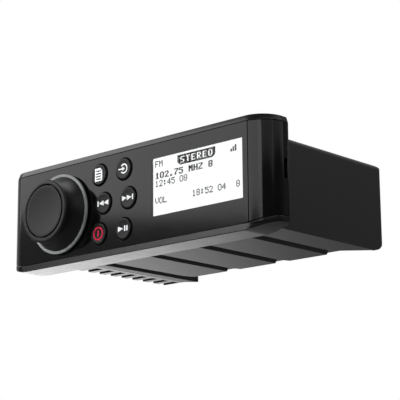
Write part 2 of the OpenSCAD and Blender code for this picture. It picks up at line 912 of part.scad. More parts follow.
// Section of the floor and the right wall, rounded at the top and bevelled at the bottom
module wall_section() {
    translate([-sink_x, floor_z]) square([sink_x + inner_x + wall_t / 2, wall_t]);
    polygon([
        [inner_x, bottom_z], [chassis_right - wall_edge, bottom_z],
        [chassis_right, bottom_z + wall_edge], [chassis_right, top_z - edge_r],
        [inner_x, top_z - edge_r]
    ]);
    translate([lip_x, sheet_z]) square([chassis_right - edge_r - lip_x + sunk, sheet_t]);
    translate([chassis_right - edge_r, top_z - edge_r]) intersection() {
        circle(edge_r);
        square(2 * edge_r);
    }
}

// Plan of the chassis, rounded at its right rear corner
module chassis_plan() {
    translate([-sink_x, 0]) square([sink_x + chassis_right - edge_r, chassis_d]);
    translate([-sink_x, 0]) square([sink_x + chassis_right, chassis_d - edge_r]);
    translate([chassis_right - edge_r, chassis_d - edge_r]) circle(edge_r);
}

// Side view of the chassis, rounded at both rear corners
module chassis_side() {
    translate([0, bottom_z]) square([chassis_d - heel_r, chassis_h]);
    translate([0, bottom_z + heel_r]) square([chassis_d, chassis_h - heel_r - crown_r]);
    translate([chassis_d - heel_r, top_z - crown_r - sunk]) square([heel_r - crown_r, crown_r + sunk]);
    translate([chassis_d - heel_r, bottom_z + heel_r]) circle(heel_r);
    translate([chassis_d - crown_r, top_z - crown_r]) circle(crown_r);
}

// Finned heat sink that closes the left side
module heat_sink() {
    color("#46454a") difference() {
        union() {
            slab(-root_x, -sink_x, wall_t, rear_y, floor_z, sheet_z);
            slab(-root_x, -sink_x, wall_t, fin_back, bottom_z, floor_z + sunk);
            slab(-fin_tip_x, -root_x, fin_front, fin_back, bottom_z, top_z);
        }
        for (i = [0:fin_gaps - 1]) {
            y = last_gap_y - i * fin_pitch;
            slab(
                -fin_tip_x - over, -root_x, y - fin_gap / 2, y + fin_gap / 2,
                bottom_z - over, top_z + over
            );
        }
        for (z = [-post_screw_z, post_screw_z]) {
            bar_y(sink_screw_x, z, wall_t - over, wall_t + small_screw_l, small_screw_r + thread_gap);
            bar_y(sink_screw_x, z, rear_y - small_screw_l, rear_y + over, small_screw_r + thread_gap);
        }
        for (y = CLAMP_SCREW_Y)
            translate([-sink_x - clamp_bite, y, clamp_z]) rotate([0, 90, 0])
                cylinder(h = clamp_bite + over, r = clamp_screw_r + thread_gap);
        for (y = COVER_SCREW_Y)
            translate([sink_screw_x, y, sheet_z - cover_screw_l])
                cylinder(h = cover_screw_l + over, r = small_screw_r + thread_gap);
    }
}

// Flat cover over the chassis, with sunk screw heads
module top_cover() {
    color("#403f44") difference() {
        slab(-root_x, lip_x, 0, chassis_d, sheet_z, top_z);
        for (y = COVER_SCREW_Y) for (x = [sink_screw_x, cover_screw_x]) {
            translate([x, y, sheet_z - over])
                cylinder(h = sheet_t + 2 * over, r = small_screw_r + fit_gap);
            translate([x, y, top_z - small_head_h])
                cylinder(h = small_head_h + over, r = small_head_r + fit_gap);
        }
    }
}

module rear_panel() {
    color("#3a393e") difference() {
        slab(-root_x, rear_x, rear_y, chassis_d, floor_top, sheet_z);
        for (z = [-post_screw_z, post_screw_z])
            for (x = [sink_screw_x, post_screw_x])
                bar_y(x, z, rear_y - over, chassis_d + over, small_screw_r + fit_gap);
        slab(
            harness_x - harness_w / 2 - socket_gap, harness_x + harness_w / 2 + socket_gap,
            rear_y - over, chassis_d + over,
            harness_z0 - socket_gap, harness_z0 + harness_h + socket_gap
        );
        for (i = [0:1]) for (j = [0:1])
            bar_y(
                line_x + (i - 0.5) * line_pitch, line_z0 + j * line_pitch, rear_y - over,
                chassis_d + over, line_tube_r + socket_gap
            );
        bar_y(antenna_x, antenna_z, rear_y - over, chassis_d + over, antenna_r + socket_gap);
        bar_y(network_x, network_z, rear_y - over, chassis_d + over, network_r + socket_gap);
    }
}

module main_board() {
    color("#1f5b3a") difference() {
        slab(main_x0, main_x1, main_y0, main_y1, main_z0, main_z1);
        for (p = MAIN_SCREWS)
            translate([p[0], p[1], main_z0 - over])
                cylinder(h = board_t + 2 * over, r = main_screw_r + fit_gap);
    }
}

module main_board_screws() {
    color("#c4c7ca") for (p = MAIN_SCREWS)
        screw_z(p[0], p[1], floor_top, main_z1, main_screw_r, main_head_r, main_head_h);
}

// Power amplifier with its row of leads, flat against the heat sink
module amplifier_chip() {
    pitch = chip_w / lead_count;
    color("#26272a") {
        slab(-sink_x, chip_face, chip_y, chip_y + chip_w, chip_z0, chip_z0 + chip_h);
        for (i = [0:lead_count - 1])
            slab(
                chip_face - lead_t - lead_inset, chip_face - lead_inset,
                chip_y + (i + 0.5) * pitch - lead_w / 2, chip_y + (i + 0.5) * pitch + lead_w / 2,
                main_z1, chip_z0
            );
    }
}

// Bar that presses the amplifier to the heat sink
module chip_clamp() {
    color("#9fa3a7") difference() {
        slab(
            chip_face, chip_face + clamp_t, chip_y - clamp_over, chip_y + chip_w + clamp_over,
            clamp_z - clamp_h / 2, clamp_z + clamp_h / 2
        );
        for (y = CLAMP_SCREW_Y)
            translate([chip_face - over, y, clamp_z]) rotate([0, 90, 0])
                cylinder(h = clamp_t + 2 * over, r = clamp_screw_r + fit_gap);
    }
}

module clamp_screws() {
    color("#c4c7ca") for (y = CLAMP_SCREW_Y)
        translate([0, y, clamp_z]) rotate([0, 90, 0]) {
            translate([0, 0, -sink_x - clamp_bite + fit_gap])
                cylinder(h = sink_x + clamp_bite - fit_gap + chip_face + clamp_t, r = clamp_screw_r);
            translate([0, 0, chip_face + clamp_t]) cylinder(h = clamp_head_h, r = clamp_head_r);
        }
}

// Upright capacitors with a rolled groove near the foot
module filter_capacitors() {
    color("#2b3d63") for (p = CAPACITORS)
        translate([p[0], p[1], main_z1]) rotate_extrude() difference() {
            square([cap_can_r, cap_can_h]);
            translate([cap_can_r, can_groove_z]) circle(can_groove_r, $fn = 24);
        }
}

// Ring-shaped choke that lies on the board
module choke_coil() {
    color("#b06a33") translate([main_x0 + coil_side, main_y0 + coil_front, main_z1 + coil_wire_r])
        rotate_extrude() translate([coil_r, 0]) circle(coil_wire_r, $fn = 32);
}

// Screened radio module
module tuner_module() {
    c = tuner_corner;
    color("#b8bcbf") translate([main_x1 - tuner_side - tuner_w, main_y0 + tuner_front, main_z1])
        linear_extrude(tuner_h) union() {
            translate([c, 0]) square([tuner_w - 2 * c, tuner_d]);
            translate([0, c]) square([tuner_w, tuner_d - 2 * c]);
            for (x = [c, tuner_w - c]) for (y = [c, tuner_d - c])
                translate([x, y]) circle(c);
        }
}

module processor_chip() {
    w = processor_w;
    color("#1d1e20") translate([main_x0 + processor_side, main_y0 + processor_front, main_z1])
        cube([w, w, processor_t]);
}

// Socket of the wiring harness, with two rows of contacts
module harness_socket() {
    y1 = chassis_d + harness_out;
    color("#1b1c1e") difference() {
        slab(
            harness_x - harness_w / 2, harness_x + harness_w / 2, y1 - harness_d, y1,
            harness_z0, harness_z0 + harness_h
        );
        for (i = [0:contact_columns - 1]) for (j = [-0.5, 0.5]) {
            x = harness_x + (i - (contact_columns - 1) / 2) * contact_pitch;
            z = harness_z0 + harness_h / 2 + j * contact_row;
            slab(
                x - contact_w / 2, x + contact_w / 2, y1 - contact_d, y1 + over,
                z - contact_w / 2, z + contact_w / 2
            );
        }
    }
}

// Four round line sockets on one block
module line_sockets() {
    color("#d7d9da") difference() {
        union() {
            slab(
                line_x - line_pitch, line_x + line_pitch, rear_y - line_block_d, rear_y,
                main_z1, line_z0 + line_pitch + line_block_over
            );
            for (i = [0:1]) for (j = [0:1])
                bar_y(
                    line_x + (i - 0.5) * line_pitch, line_z0 + j * line_pitch, rear_y,
                    chassis_d + line_tube_out, line_tube_r
                );
        }
        for (i = [0:1]) for (j = [0:1])
            bar_y(
                line_x + (i - 0.5) * line_pitch, line_z0 + j * line_pitch, rear_y,
                chassis_d + line_tube_out + over, line_hole_r
            );
    }
}

// Aerial socket: a deep round bore in a sleeve
module antenna_socket() {
    y1 = chassis_d + antenna_out;
    side = antenna_r + antenna_block_over;
    color("#a7abaf") difference() {
        union() {
            bar_y(antenna_x, antenna_z, rear_y, y1, antenna_r);
            slab(
                antenna_x - side, antenna_x + side, y1 - antenna_bore_d - antenna_floor, rear_y,
                main_z1, antenna_z + side
            );
        }
        bar_y(antenna_x, antenna_z, y1 - antenna_bore_d, y1 + over, antenna_bore_r);
    }
}

// Round network socket with a nut flange and five contacts
module network_socket() {
    y1 = chassis_d + network_out;
    color("#b5b8bb") difference() {
        union() {
            bar_y(network_x, network_z, rear_y, y1, network_r);
            bar_y(network_x, network_z, chassis_d, chassis_d + network_flange_t, network_flange_r);
            slab(
                network_x - network_flange_r, network_x + network_flange_r,
                rear_y - network_block_d, rear_y,
                main_z1, network_z + network_flange_r
            );
        }
        bar_y(network_x, network_z, y1 - network_insert_sink, y1 + over, network_insert_r);
        for (i = [0:network_pins - 1]) {
            turn = 360 * i / network_pins;
            bar_y(
                network_x + network_pin_circle * cos(turn), network_z + network_pin_circle * sin(turn),
                y1 - network_pin_d, y1, network_pin_r
            );
        }
    }
}

module chassis_screws() {
    color("#c4c7ca") for (p = CHASSIS_SCREWS)
        screw_y(p[0], p[1], -chassis_screw_in, wall_t, chassis_screw_r, chassis_head_r, chassis_head_h);
}

module sink_screws() {
    color("#c4c7ca") for (z = [-post_screw_z, post_screw_z])
        screw_y(
            sink_screw_x, z, wall_t + small_screw_l - fit_gap, small_head_h,
            small_screw_r, small_head_r, small_head_h
        );
}

module cover_screws() {
    color("#c4c7ca") for (y = COVER_SCREW_Y) for (x = [sink_screw_x, cover_screw_x])
        screw_z(
            x, y, sheet_z - cover_screw_l + fit_gap, top_z - small_head_h,
            small_screw_r, small_head_r, small_head_h
        );
}

module rear_panel_screws() {
    color("#c4c7ca") for (z = [-post_screw_z, post_screw_z])
        for (x = [sink_screw_x, post_screw_x])
            screw_y(
                x, z, rear_y - small_screw_l + fit_gap, chassis_d,
                small_screw_r, small_head_r, small_head_h
            );
}

facia_housing();
front_panel();
left_screw_cover();
right_screw_cover();
display_window();
lcd_panel();
lcd_light_guide();
dial_knob();
dial_ring();
dial_cap();
encoder_shaft();
encoder_rotor();
encoder_body();
encoder_nut();
menu_key();
source_key();
previous_key();
next_key();
power_key();
play_key();
front_board();
key_switches();
front_board_screws();
link_header();
link_socket();
panel_gasket();
chassis_base();
heat_sink();
top_cover();
rear_panel();
main_board();
main_board_screws();
amplifier_chip();
chip_clamp();
clamp_screws();
filter_capacitors();
choke_coil();
tuner_module();
processor_chip();
harness_socket();
line_sockets();
antenna_socket();
network_socket();
chassis_screws();
sink_screws();
cover_screws();
rear_panel_screws();
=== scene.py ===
"""Panel-mounted marine stereo: the finish of its facia, dial, keys, display, chassis and sockets."""

import json
import math

import bmesh
import bpy
from bpy.props import FloatProperty, FloatVectorProperty, IntProperty, PointerProperty
from bpy.types import Operator, Panel, PropertyGroup
from mathutils import Euler, Matrix, Vector


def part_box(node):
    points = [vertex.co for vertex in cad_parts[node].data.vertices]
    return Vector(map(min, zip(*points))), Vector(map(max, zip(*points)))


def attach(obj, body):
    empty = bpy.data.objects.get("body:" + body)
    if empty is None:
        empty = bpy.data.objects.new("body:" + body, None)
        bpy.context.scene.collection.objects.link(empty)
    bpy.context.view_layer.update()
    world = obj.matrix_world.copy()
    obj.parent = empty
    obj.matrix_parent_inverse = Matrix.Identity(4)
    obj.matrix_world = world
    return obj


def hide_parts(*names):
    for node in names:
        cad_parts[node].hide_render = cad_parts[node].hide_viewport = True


bl_info = {
    "name": "Marine stereo",
    "version": (1, 0, 0),
    "blender": (4, 5, 0),
    "location": "3D View > Sidebar > Stereo",
    "description": "Dresses a panel-mounted marine stereo, piece by piece",
    "category": "Object",
}

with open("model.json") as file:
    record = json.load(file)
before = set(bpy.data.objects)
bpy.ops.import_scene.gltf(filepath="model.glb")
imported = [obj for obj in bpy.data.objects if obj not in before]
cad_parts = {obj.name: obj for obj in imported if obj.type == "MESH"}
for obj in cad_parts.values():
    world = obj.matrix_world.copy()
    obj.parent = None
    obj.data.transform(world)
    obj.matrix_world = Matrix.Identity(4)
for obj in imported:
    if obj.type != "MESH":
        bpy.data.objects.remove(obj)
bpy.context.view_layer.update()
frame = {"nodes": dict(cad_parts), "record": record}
NODES = frame["nodes"]
BODIES = frame["record"]["behaviour"]["bodies"]
BODY_OF = {node: body for body, nodes in BODIES.items() for node in nodes}

MM = 0.001
# Vertices closer than this are one
WELD = 0.001 * MM
# Faces that lean less than this to each other are one flat face
FLAT_ANGLE = math.radians(0.3)
# Edges that turn more than this are rounded, and shaded as edges where they stay
EDGE_ANGLE = math.radians(28)
# Sharp edges that part by less than this at a corner are left as they are
CROWDED = math.cos(math.radians(35))
TURN_STEPS = 144
SMALL_TURN_STEPS = 48
# Gap between pieces that are pressed together
PRESS_GAP = 0.05 * MM
# Where most values of a noise lie
NOISE_LOW = 0.3
NOISE_HIGH = 0.7
# Depth of printed signs: half of it stands out from what carries them, half is sunk
PRINT_DEPTH = 0.08 * MM


# Properties


def length(name, description, millimetres):
    """A length that a user may change."""
    return FloatProperty(
        name=name, description=description, default=millimetres * MM, min=0.0,
        precision=5, subtype="DISTANCE", unit="LENGTH",
    )


def colour(name, description, red, green, blue):
    """A colour in linear light that a user may change."""
    return FloatVectorProperty(
        name=name, description=description, default=(red, green, blue), size=3,
        min=0.0, max=1.0, subtype="COLOR",
    )


class FaciaSettings(PropertyGroup):
    """Sizes and colours of the facia."""

    shell: colour("Housing colour", "Colour of the housing and the screw covers", 0.0035, 0.0035, 0.0038)
    plate: colour("Face colour", "Colour of the flat face", 0.003, 0.003, 0.0033)
    foam: colour("Seal colour", "Colour of the soft seal", 0.008, 0.008, 0.008)
    edge: length("Edge", "Rounding of the housing's edges", 0.3)
    seam: length("Seam", "Rounding of the edges along the seams", 0.12)


class DialSettings(PropertyGroup):
    """Sizes and colours of the dial."""

    body: colour("Knob colour", "Colour of the turning knob", 0.004, 0.004, 0.0043)
    face: colour("Cap colour", "Colour of the inset front disc", 0.006, 0.006, 0.0063)
    trim: colour("Ring colour", "Colour of the pale skirt ring", 0.2, 0.21, 0.21)
    rim_radius: length("Rim radius", "Radius of the front rim", 17.0)
    waist_radius: length("Waist radius", "Least radius of the skirt, behind the rim", 16.6)
    rim_depth: length("Rim depth", "Depth of the front rim", 1.6)
    rim_round: length("Rim rounding", "Radius of the front rim's shoulder", 1.2)
    groove: length("Groove", "Gap round the inset cap", 0.75)
    groove_depth: length("Groove depth", "Depth of that gap behind the cap", 0.8)
    lip: length("Cap lip", "Width of the raised lip round the cap", 1.0)
    dish: length("Cap dish", "How far the middle of the cap is sunk", 0.4)
    push_room: length("Push room", "Gap between the knob and the encoder's bush", 1.6)
    nut_room: length("Nut room", "Gap round the encoder's nut, in the hollow of the knob", 0.8)
    edge: length("Edge", "Rounding of the turned edges", 0.3)


class KeySettings(PropertyGroup):
    """Sizes and colours of the keys and their signs."""

    cap: colour("Key colour", "Colour of the press keys", 0.0035, 0.0035, 0.0038)
    sign: colour("Sign colour", "Colour of the printed signs", 0.78, 0.79, 0.80)
    power: colour("Power sign colour", "Colour of the power sign", 0.62, 0.012, 0.05)
    shoulder: length("Shoulder", "Radius of a key's rounded front edge", 0.75)
    edge: length("Edge", "Rounding of the flange behind the face", 0.3)
    lip: length("Lip", "Width of the edge round a key's hollow front", 0.9)
    dish: length("Dish", "How far the middle of a key is sunk", 0.12)
    flange: length("Flange", "Thickness of the flange behind the face", 1.0)
    flange_width: length("Flange width", "How far the flange stands out from the key", 0.85)


class DisplaySettings(PropertyGroup):
    """Sizes and colours of the display."""

    lit: colour("Lit colour", "Colour of the lit background", 0.96, 0.97, 0.97)
    ink: colour("Dot colour", "Colour of the dark dots", 0.006, 0.006, 0.008)
    columns: IntProperty(name="Columns", description="Dots across the display", default=128, min=64)
    rows: IntProperty(name="Rows", description="Dots from top to bottom", default=64, min=32)
    dot: FloatProperty(
        name="Dot share", description="Width of a dot against its pitch", default=1.2,
        min=0.5, max=1.5, subtype="FACTOR",
    )
    bond: length("Bond", "Gap between the window and the liquid crystal panel", 0.1)


class ChassisSettings(PropertyGroup):
    """Sizes and colours of the metal chassis."""

    paint: colour("Paint colour", "Colour of the painted casting and sheets", 0.008, 0.0076, 0.0086)
    sink: colour("Heat sink colour", "Colour of the heat sink", 0.007, 0.0066, 0.0075)
    steel: colour("Steel colour", "Colour of the plated screws", 0.55, 0.55, 0.56)
    edge: length("Edge", "Rounding of the metal edges", 0.3)


class SocketSettings(PropertyGroup):
    """Sizes and colours of the sockets at the back."""

    nickel: colour("Nickel colour", "Colour of the plated sleeves", 0.62, 0.60, 0.56)
    brass: colour("Contact colour", "Colour of the contacts", 0.70, 0.50, 0.20)
    moulding: colour("Moulding colour", "Colour of the black connector bodies", 0.008, 0.008, 0.009)
    left: colour("Left insulator", "Insulator colour of the left line sockets", 0.75, 0.74, 0.70)
    right: colour("Right insulator", "Insulator colour of the right line sockets", 0.52, 0.02, 0.02)
    line_pitch: length("Line pitch", "Distance between the line sockets", 13.0)
    line_rise: length("Line rise", "Height of the lower line sockets above their block's foot", 7.0)
    pin_pitch: length("Harness pitch", "Distance between the harness contacts", 3.5)
    pin_row: length("Harness rows", "Distance between the two rows of contacts", 6.5)
    edge: length("Edge", "Rounding of the sockets' edges", 0.2)


class StageSettings(PropertyGroup):
    """Camera, floor and lamps."""

    place: FloatVectorProperty(
        name="Camera place", description="Where the camera stands", size=3,
        default=(0.50465, -0.52007, -0.16754), subtype="TRANSLATION", unit="LENGTH",
    )
    turn: FloatVectorProperty(
        name="Camera turn", description="How the camera is turned", size=3,
        default=(math.radians(103.163), math.radians(0.485), math.radians(42.166)),
        subtype="EULER", unit="ROTATION",
    )
    lens: FloatProperty(
        name="Lens", description="Focal length in millimetres on a 36 mm sensor",
        default=127.98, min=20.0,
    )
    floor: length("Floor depth", "Distance from the middle of the stereo down to the floor", 350.0)
    ground: colour("Floor colour", "Colour of the pale floor", 0.8, 0.8, 0.8)
    bounce: colour("Floor bounce", "Colour of the light that the floor throws back", 0.3, 0.3, 0.3)
    fill: FloatProperty(
        name="Fill", description="Strength of the room's light on its bright side", default=0.6, min=0.0,
    )
    shade: FloatProperty(
        name="Shade", description="Strength of the room's light on its dark side", default=0.06, min=0.0,
    )


# Materials


class Finish:
    """A material in the making: its Principled shader and the nodes that feed it."""

    def __init__(self, name, **values):
        self.material = bpy.data.materials.new(name)
        self.material.use_nodes = True
        tree = self.material.node_tree
        self.nodes = tree.nodes
        self.links = tree.links
        self.shader = tree.nodes["Principled BSDF"]
        self.place = self.nodes.new("ShaderNodeTexCoord").outputs["Object"]
        for socket, value in values.items():
            self.shader.inputs[socket.replace("_", " ")].default_value = value

    def noise(self, size, detail=2.0, stretch=(1.0, 1.0, 1.0)):
        """Noise whose features have that size in metres, drawn out along each axis."""
        mapping = self.nodes.new("ShaderNodeMapping")
        mapping.inputs["Scale"].default_value = [1.0 / s for s in stretch]
        self.links.new(self.place, mapping.inputs["Vector"])
        noise = self.nodes.new("ShaderNodeTexNoise")
        noise.inputs["Scale"].default_value = 1.0 / size
        noise.inputs["Detail"].default_value = detail
        self.links.new(mapping.outputs["Vector"], noise.inputs["Vector"])
        return noise.outputs["Fac"]

    def cells(self, size):
        """Distance to the nearest of scattered points, for beads of that size in metres."""
        cells = self.nodes.new("ShaderNodeTexVoronoi")
        cells.inputs["Scale"].default_value = 1.0 / size
        self.links.new(self.place, cells.inputs["Vector"])
        return cells.outputs["Distance"]

    def spread(self, source, socket, low, high):
        """Feeds a socket with values between low and high."""
        spread = self.nodes.new("ShaderNodeMapRange")
        spread.inputs["From Min"].default_value = NOISE_LOW
        spread.inputs["From Max"].default_value = NOISE_HIGH
        spread.inputs["To Min"].default_value = low
        spread.inputs["To Max"].default_value = high
        self.links.new(source, spread.inputs["Value"])
        self.links.new(spread.outputs["Result"], self.shader.inputs[socket])

    def shades(self, source, colour_value, darker, lighter, socket="Base Color"):
        """Feeds a colour socket with a colour that varies a little."""
        ramp = self.nodes.new("ShaderNodeValToRGB")
        ends = ramp.color_ramp.elements
        for end, share, place in ((ends[0], darker, NOISE_LOW), (ends[1], lighter, NOISE_HIGH)):
            end.position = place
            end.color = [min(c * share, 1.0) for c in colour_value] + [1.0]
        self.links.new(source, ramp.inputs["Fac"])
        self.links.new(ramp.outputs["Color"], self.shader.inputs[socket])

    def relief(self, source, depth):
        """Gives the surface a fine relief of that depth in metres."""
        bump = self.nodes.new("ShaderNodeBump")
        bump.inputs["Strength"].default_value = 1.0
        bump.inputs["Distance"].default_value = depth
        self.links.new(source, bump.inputs["Height"])
        self.links.new(bump.outputs["Normal"], self.shader.inputs["Normal"])


def moulded_plastic(name, tint, gloss, shine, grain=0.35 * MM, depth=0.002 * MM):
    """Moulded plastic with a fine grain: gloss is its roughness, shine its specular level."""
    finish = Finish(name, Specular_IOR_Level=shine)
    finish.shades(finish.noise(14 * MM, 3.0), tint, 0.85, 1.15)
    finish.spread(finish.noise(6 * MM, 4.0), "Roughness", gloss * 0.92, gloss * 1.08)
    finish.relief(finish.noise(grain, 2.0), depth)
    return finish.material


def powder_paint(name, tint, gloss, shine):
    """Baked paint on metal, with the small beads of a powder coat."""
    finish = Finish(name, Specular_IOR_Level=shine)
    finish.shades(finish.noise(9 * MM, 4.0), tint, 0.94, 1.06)
    finish.spread(finish.noise(3 * MM, 3.0), "Roughness", gloss * 0.97, gloss * 1.03)
    finish.relief(finish.noise(0.4 * MM, 3.0), 0.002 * MM)
    return finish.material


def plated_metal(name, tint, gloss):
    """Bare or plated metal with faint marks."""
    finish = Finish(name, Metallic=1.0)
    marks = finish.noise(0.25 * MM, 3.0)
    finish.shades(finish.noise(2 * MM, 3.0), tint, 0.9, 1.08)
    finish.spread(marks, "Roughness", gloss * 0.8, gloss * 1.25)
    finish.relief(marks, 0.001 * MM)
    return finish.material


def soft_foam(name, tint):
    """Closed-cell foam rubber."""
    finish = Finish(name, Specular_IOR_Level=0.2)
    finish.shades(finish.noise(1.5 * MM, 3.0), tint, 0.75, 1.25)
    finish.spread(finish.noise(1 * MM), "Roughness", 0.8, 0.95)
    finish.relief(finish.cells(0.35 * MM), 0.04 * MM)
    return finish.material


def circuit_board(name):
    """Green solder mask over glass cloth, with the weave just showing."""
    finish = Finish(name, Specular_IOR_Level=0.45)
    finish.shades(finish.cells(2.2 * MM), (0.012, 0.10, 0.035), 0.6, 1.3)
    finish.spread(finish.noise(4 * MM), "Roughness", 0.28, 0.42)
    finish.relief(finish.noise(0.3 * MM), 0.006 * MM)
    return finish.material


def wound_wire(name):
    """Varnished copper wire wound closely on a ring."""
    finish = Finish(name, Metallic=0.9)
    turns = finish.noise(0.6 * MM, 1.0, (1.0, 1.0, 6.0))
    finish.shades(turns, (0.55, 0.20, 0.07), 0.55, 1.2)
    finish.spread(turns, "Roughness", 0.25, 0.45)
    finish.relief(turns, 0.12 * MM)
    return finish.material


def plain_floor(name, tint, bounce):
    """Even, dull floor that is pale where it is seen and darker in the light that it throws back."""
    finish = Finish(name, Specular_IOR_Level=0.1)
    finish.shades(finish.noise(0.4, 1.0), tint, 0.995, 1.005)
    finish.spread(finish.noise(0.4, 1.0), "Roughness", 0.88, 0.9)
    thrown = finish.nodes.new("ShaderNodeBsdfDiffuse")
    thrown.inputs["Color"].default_value = (*bounce, 1.0)
    mix = finish.nodes.new("ShaderNodeMixShader")
    path = finish.nodes.new("ShaderNodeLightPath")
    finish.links.new(path.outputs["Is Camera Ray"], mix.inputs["Fac"])
    finish.links.new(thrown.outputs["BSDF"], mix.inputs[1])
    finish.links.new(finish.shader.outputs["BSDF"], mix.inputs[2])
    finish.links.new(mix.outputs["Shader"], finish.nodes["Material Output"].inputs["Surface"])
    return finish.material


def lit_panel(name, tint, strength):
    """Evenly lit background of the display, with the faintest mottle of its diffuser."""
    finish = Finish(name, Emission_Strength=strength, Specular_IOR_Level=0.1, Roughness=0.5)
    finish.shader.inputs["Base Color"].default_value = (0.02, 0.02, 0.02, 1.0)
    finish.shades(finish.noise(16 * MM, 1.0), tint, 0.975, 1.0, "Emission Color")
    return finish.material


def clear_window(name):
    """Clear acrylic with a coat against glare, and a faint haze where it was wiped."""
    finish = Finish(name, IOR=1.12, Transmission_Weight=1.0, Specular_IOR_Level=0.3)
    finish.shader.inputs["Base Color"].default_value = (1.0, 1.0, 1.0, 1.0)
    finish.spread(finish.noise(20 * MM, 3.0), "Roughness", 0.0, 0.012)
    return finish.material


# Modelling


def piece(mesh, name, material, body, replaced=()):
    """Turns a bmesh into a finished piece that rides on a body."""
    data = bpy.data.meshes.new(name)
    mesh.to_mesh(data)
    mesh.free()
    data.shade_smooth()
    data.set_sharp_from_angle(angle=EDGE_ANGLE)
    data.materials.append(material)
    made = bpy.data.objects.new(name, data)
    bpy.context.scene.collection.objects.link(made)
    weighted = made.modifiers.new("Flat faces stay flat", "WEIGHTED_NORMAL")
    weighted.keep_sharp = True
    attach(made, body)
    if replaced:
        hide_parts(*replaced)
    return made


def crowded(vertex, sharp):
    """Whether two sharp edges leave a vertex at so small an angle that a rounding would spike."""
    ways = [(e.other_vert(vertex).co - vertex.co).normalized() for e in vertex.link_edges if e in sharp]
    return any(
        ways[i].dot(ways[j]) > CROWDED for i in range(len(ways)) for j in range(i)
    )


def round_edges(mesh, width, segments=2):
    """Rounds every edge that turns by more than the edge angle, apart from crowded corners."""
    sharp = {e for e in mesh.edges if e.is_manifold and e.calc_face_angle() > EDGE_ANGLE}
    held = {v for e in sharp for v in e.verts if crowded(v, sharp)}
    free = [e for e in mesh.edges if e in sharp and held.isdisjoint(e.verts)]
    bmesh.ops.bevel(
        mesh, geom=free, offset=width, offset_type="OFFSET", affect="EDGES",
        segments=segments, profile=0.5, material=-1, clamp_overlap=False, loop_slide=True,
    )


def dressed(node, name, material, edge):
    """A copy of a solid with its edges rounded, in place of that solid."""
    mesh = bmesh.new()
    mesh.from_mesh(NODES[node].data)
    bmesh.ops.remove_doubles(mesh, verts=mesh.verts[:], dist=WELD)
    bmesh.ops.dissolve_limit(
        mesh, angle_limit=FLAT_ANGLE, verts=mesh.verts[:], edges=mesh.edges[:],
    )
    round_edges(mesh, edge)
    return piece(mesh, name, material, BODY_OF[node], [node])


def paint(node, material):
    """Gives a solid that stays as it is its own finish."""
    for slot in NODES[node].material_slots:
        slot.material = material


def middle(node):
    """Middle of a solid's box."""
    low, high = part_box(node)
    return (low + high) / 2


def turned(profile, centre, steps=TURN_STEPS):
    """Turns a profile of radius and depth about an axis along Y. A closed one repeats its first point."""
    mesh = bmesh.new()
    points = [mesh.verts.new((centre.x + radius, y, centre.z)) for radius, y in profile]
    edges = [mesh.edges.new(pair) for pair in zip(points, points[1:])]
    bmesh.ops.spin(
        mesh, geom=points + edges, cent=(centre.x, 0, centre.z), axis=(0, 1, 0),
        angle=math.tau, steps=steps, use_merge=True,
    )
    bmesh.ops.remove_doubles(mesh, verts=mesh.verts[:], dist=WELD)
    bmesh.ops.recalc_face_normals(mesh, faces=mesh.faces[:])
    return mesh


def add_plate(mesh, outline, front, back):
    """Adds a flat shape: its outline in X and Z, carried from back to front."""
    face = mesh.faces.new([mesh.verts.new((x, back, z)) for x, z in outline])
    made = bmesh.ops.extrude_face_region(mesh, geom=[face])
    raised = [g for g in made["geom"] if isinstance(g, bmesh.types.BMVert)]
    bmesh.ops.translate(mesh, verts=raised, vec=(0, front - back, 0))


def add_block(mesh, low, high):
    """Adds a box given by its two corners."""
    low, high = Vector(low), Vector(high)
    place = Matrix.Translation((low + high) / 2) @ Matrix.Diagonal((*(high - low), 1.0))
    bmesh.ops.create_cube(mesh, size=1.0, matrix=place)


def add_ring(mesh, centre, radius, width, front, back, start=0.0, sweep=math.tau):
    """Adds a flat ring, or a part of one that starts at an angle from +X towards +Z."""
    inner, outer = radius - width / 2, radius + width / 2
    section = [(inner, front), (outer, front), (outer, back), (inner, back)]
    corners = [mesh.verts.new((centre[0] + r, y, centre[1])) for r, y in section]
    pivot = (centre[0], 0, centre[1])
    bmesh.ops.rotate(mesh, verts=corners, cent=pivot, matrix=Matrix.Rotation(-start, 3, "Y"))
    closed = abs(sweep - math.tau) < WELD
    sides = [mesh.edges.new((corners[i - 1], corners[i])) for i in range(len(corners))]
    geometry = corners + sides
    if not closed:
        geometry.append(mesh.faces.new(corners))
    bmesh.ops.spin(
        mesh, geom=geometry, cent=pivot, axis=(0, -1, 0), angle=sweep,
        steps=round(TURN_STEPS * sweep / math.tau), use_merge=closed,
    )


def printed(mesh, name, material, body):
    """A finished print: doubles merged and faces turned outwards."""
    bmesh.ops.remove_doubles(mesh, verts=mesh.verts[:], dist=WELD)
    bmesh.ops.recalc_face_normals(mesh, faces=mesh.faces[:])
    return piece(mesh, name, material, body)


# Facia


class STEREO_OT_facia(Operator):
    """Make the housing, the face, the screw covers and the seal."""

    bl_idname = "stereo.facia"
    bl_label = "Facia"

    def execute(self, context):
        look = context.scene.stereo_facia
        shell = moulded_plastic("Housing plastic", look.shell, gloss=0.22, shine=0.18, depth=0.0005 * MM)
        plate = moulded_plastic("Face plastic", look.plate, gloss=0.09, shine=0.13)
        cover = moulded_plastic("Cover plastic", look.shell, gloss=0.09, shine=0.13)
        dressed("facia_housing", "housing_shell", shell, look.edge)
        dressed("front_panel", "face_plate", plate, look.seam)
        dressed("left_screw_cover", "left_end_cover", cover, look.seam)
        dressed("right_screw_cover", "right_end_cover", cover, look.seam)
        dressed("panel_gasket", "seal_ring", soft_foam("Seal foam", look.foam), look.edge)
        return {"FINISHED"}


# Dial


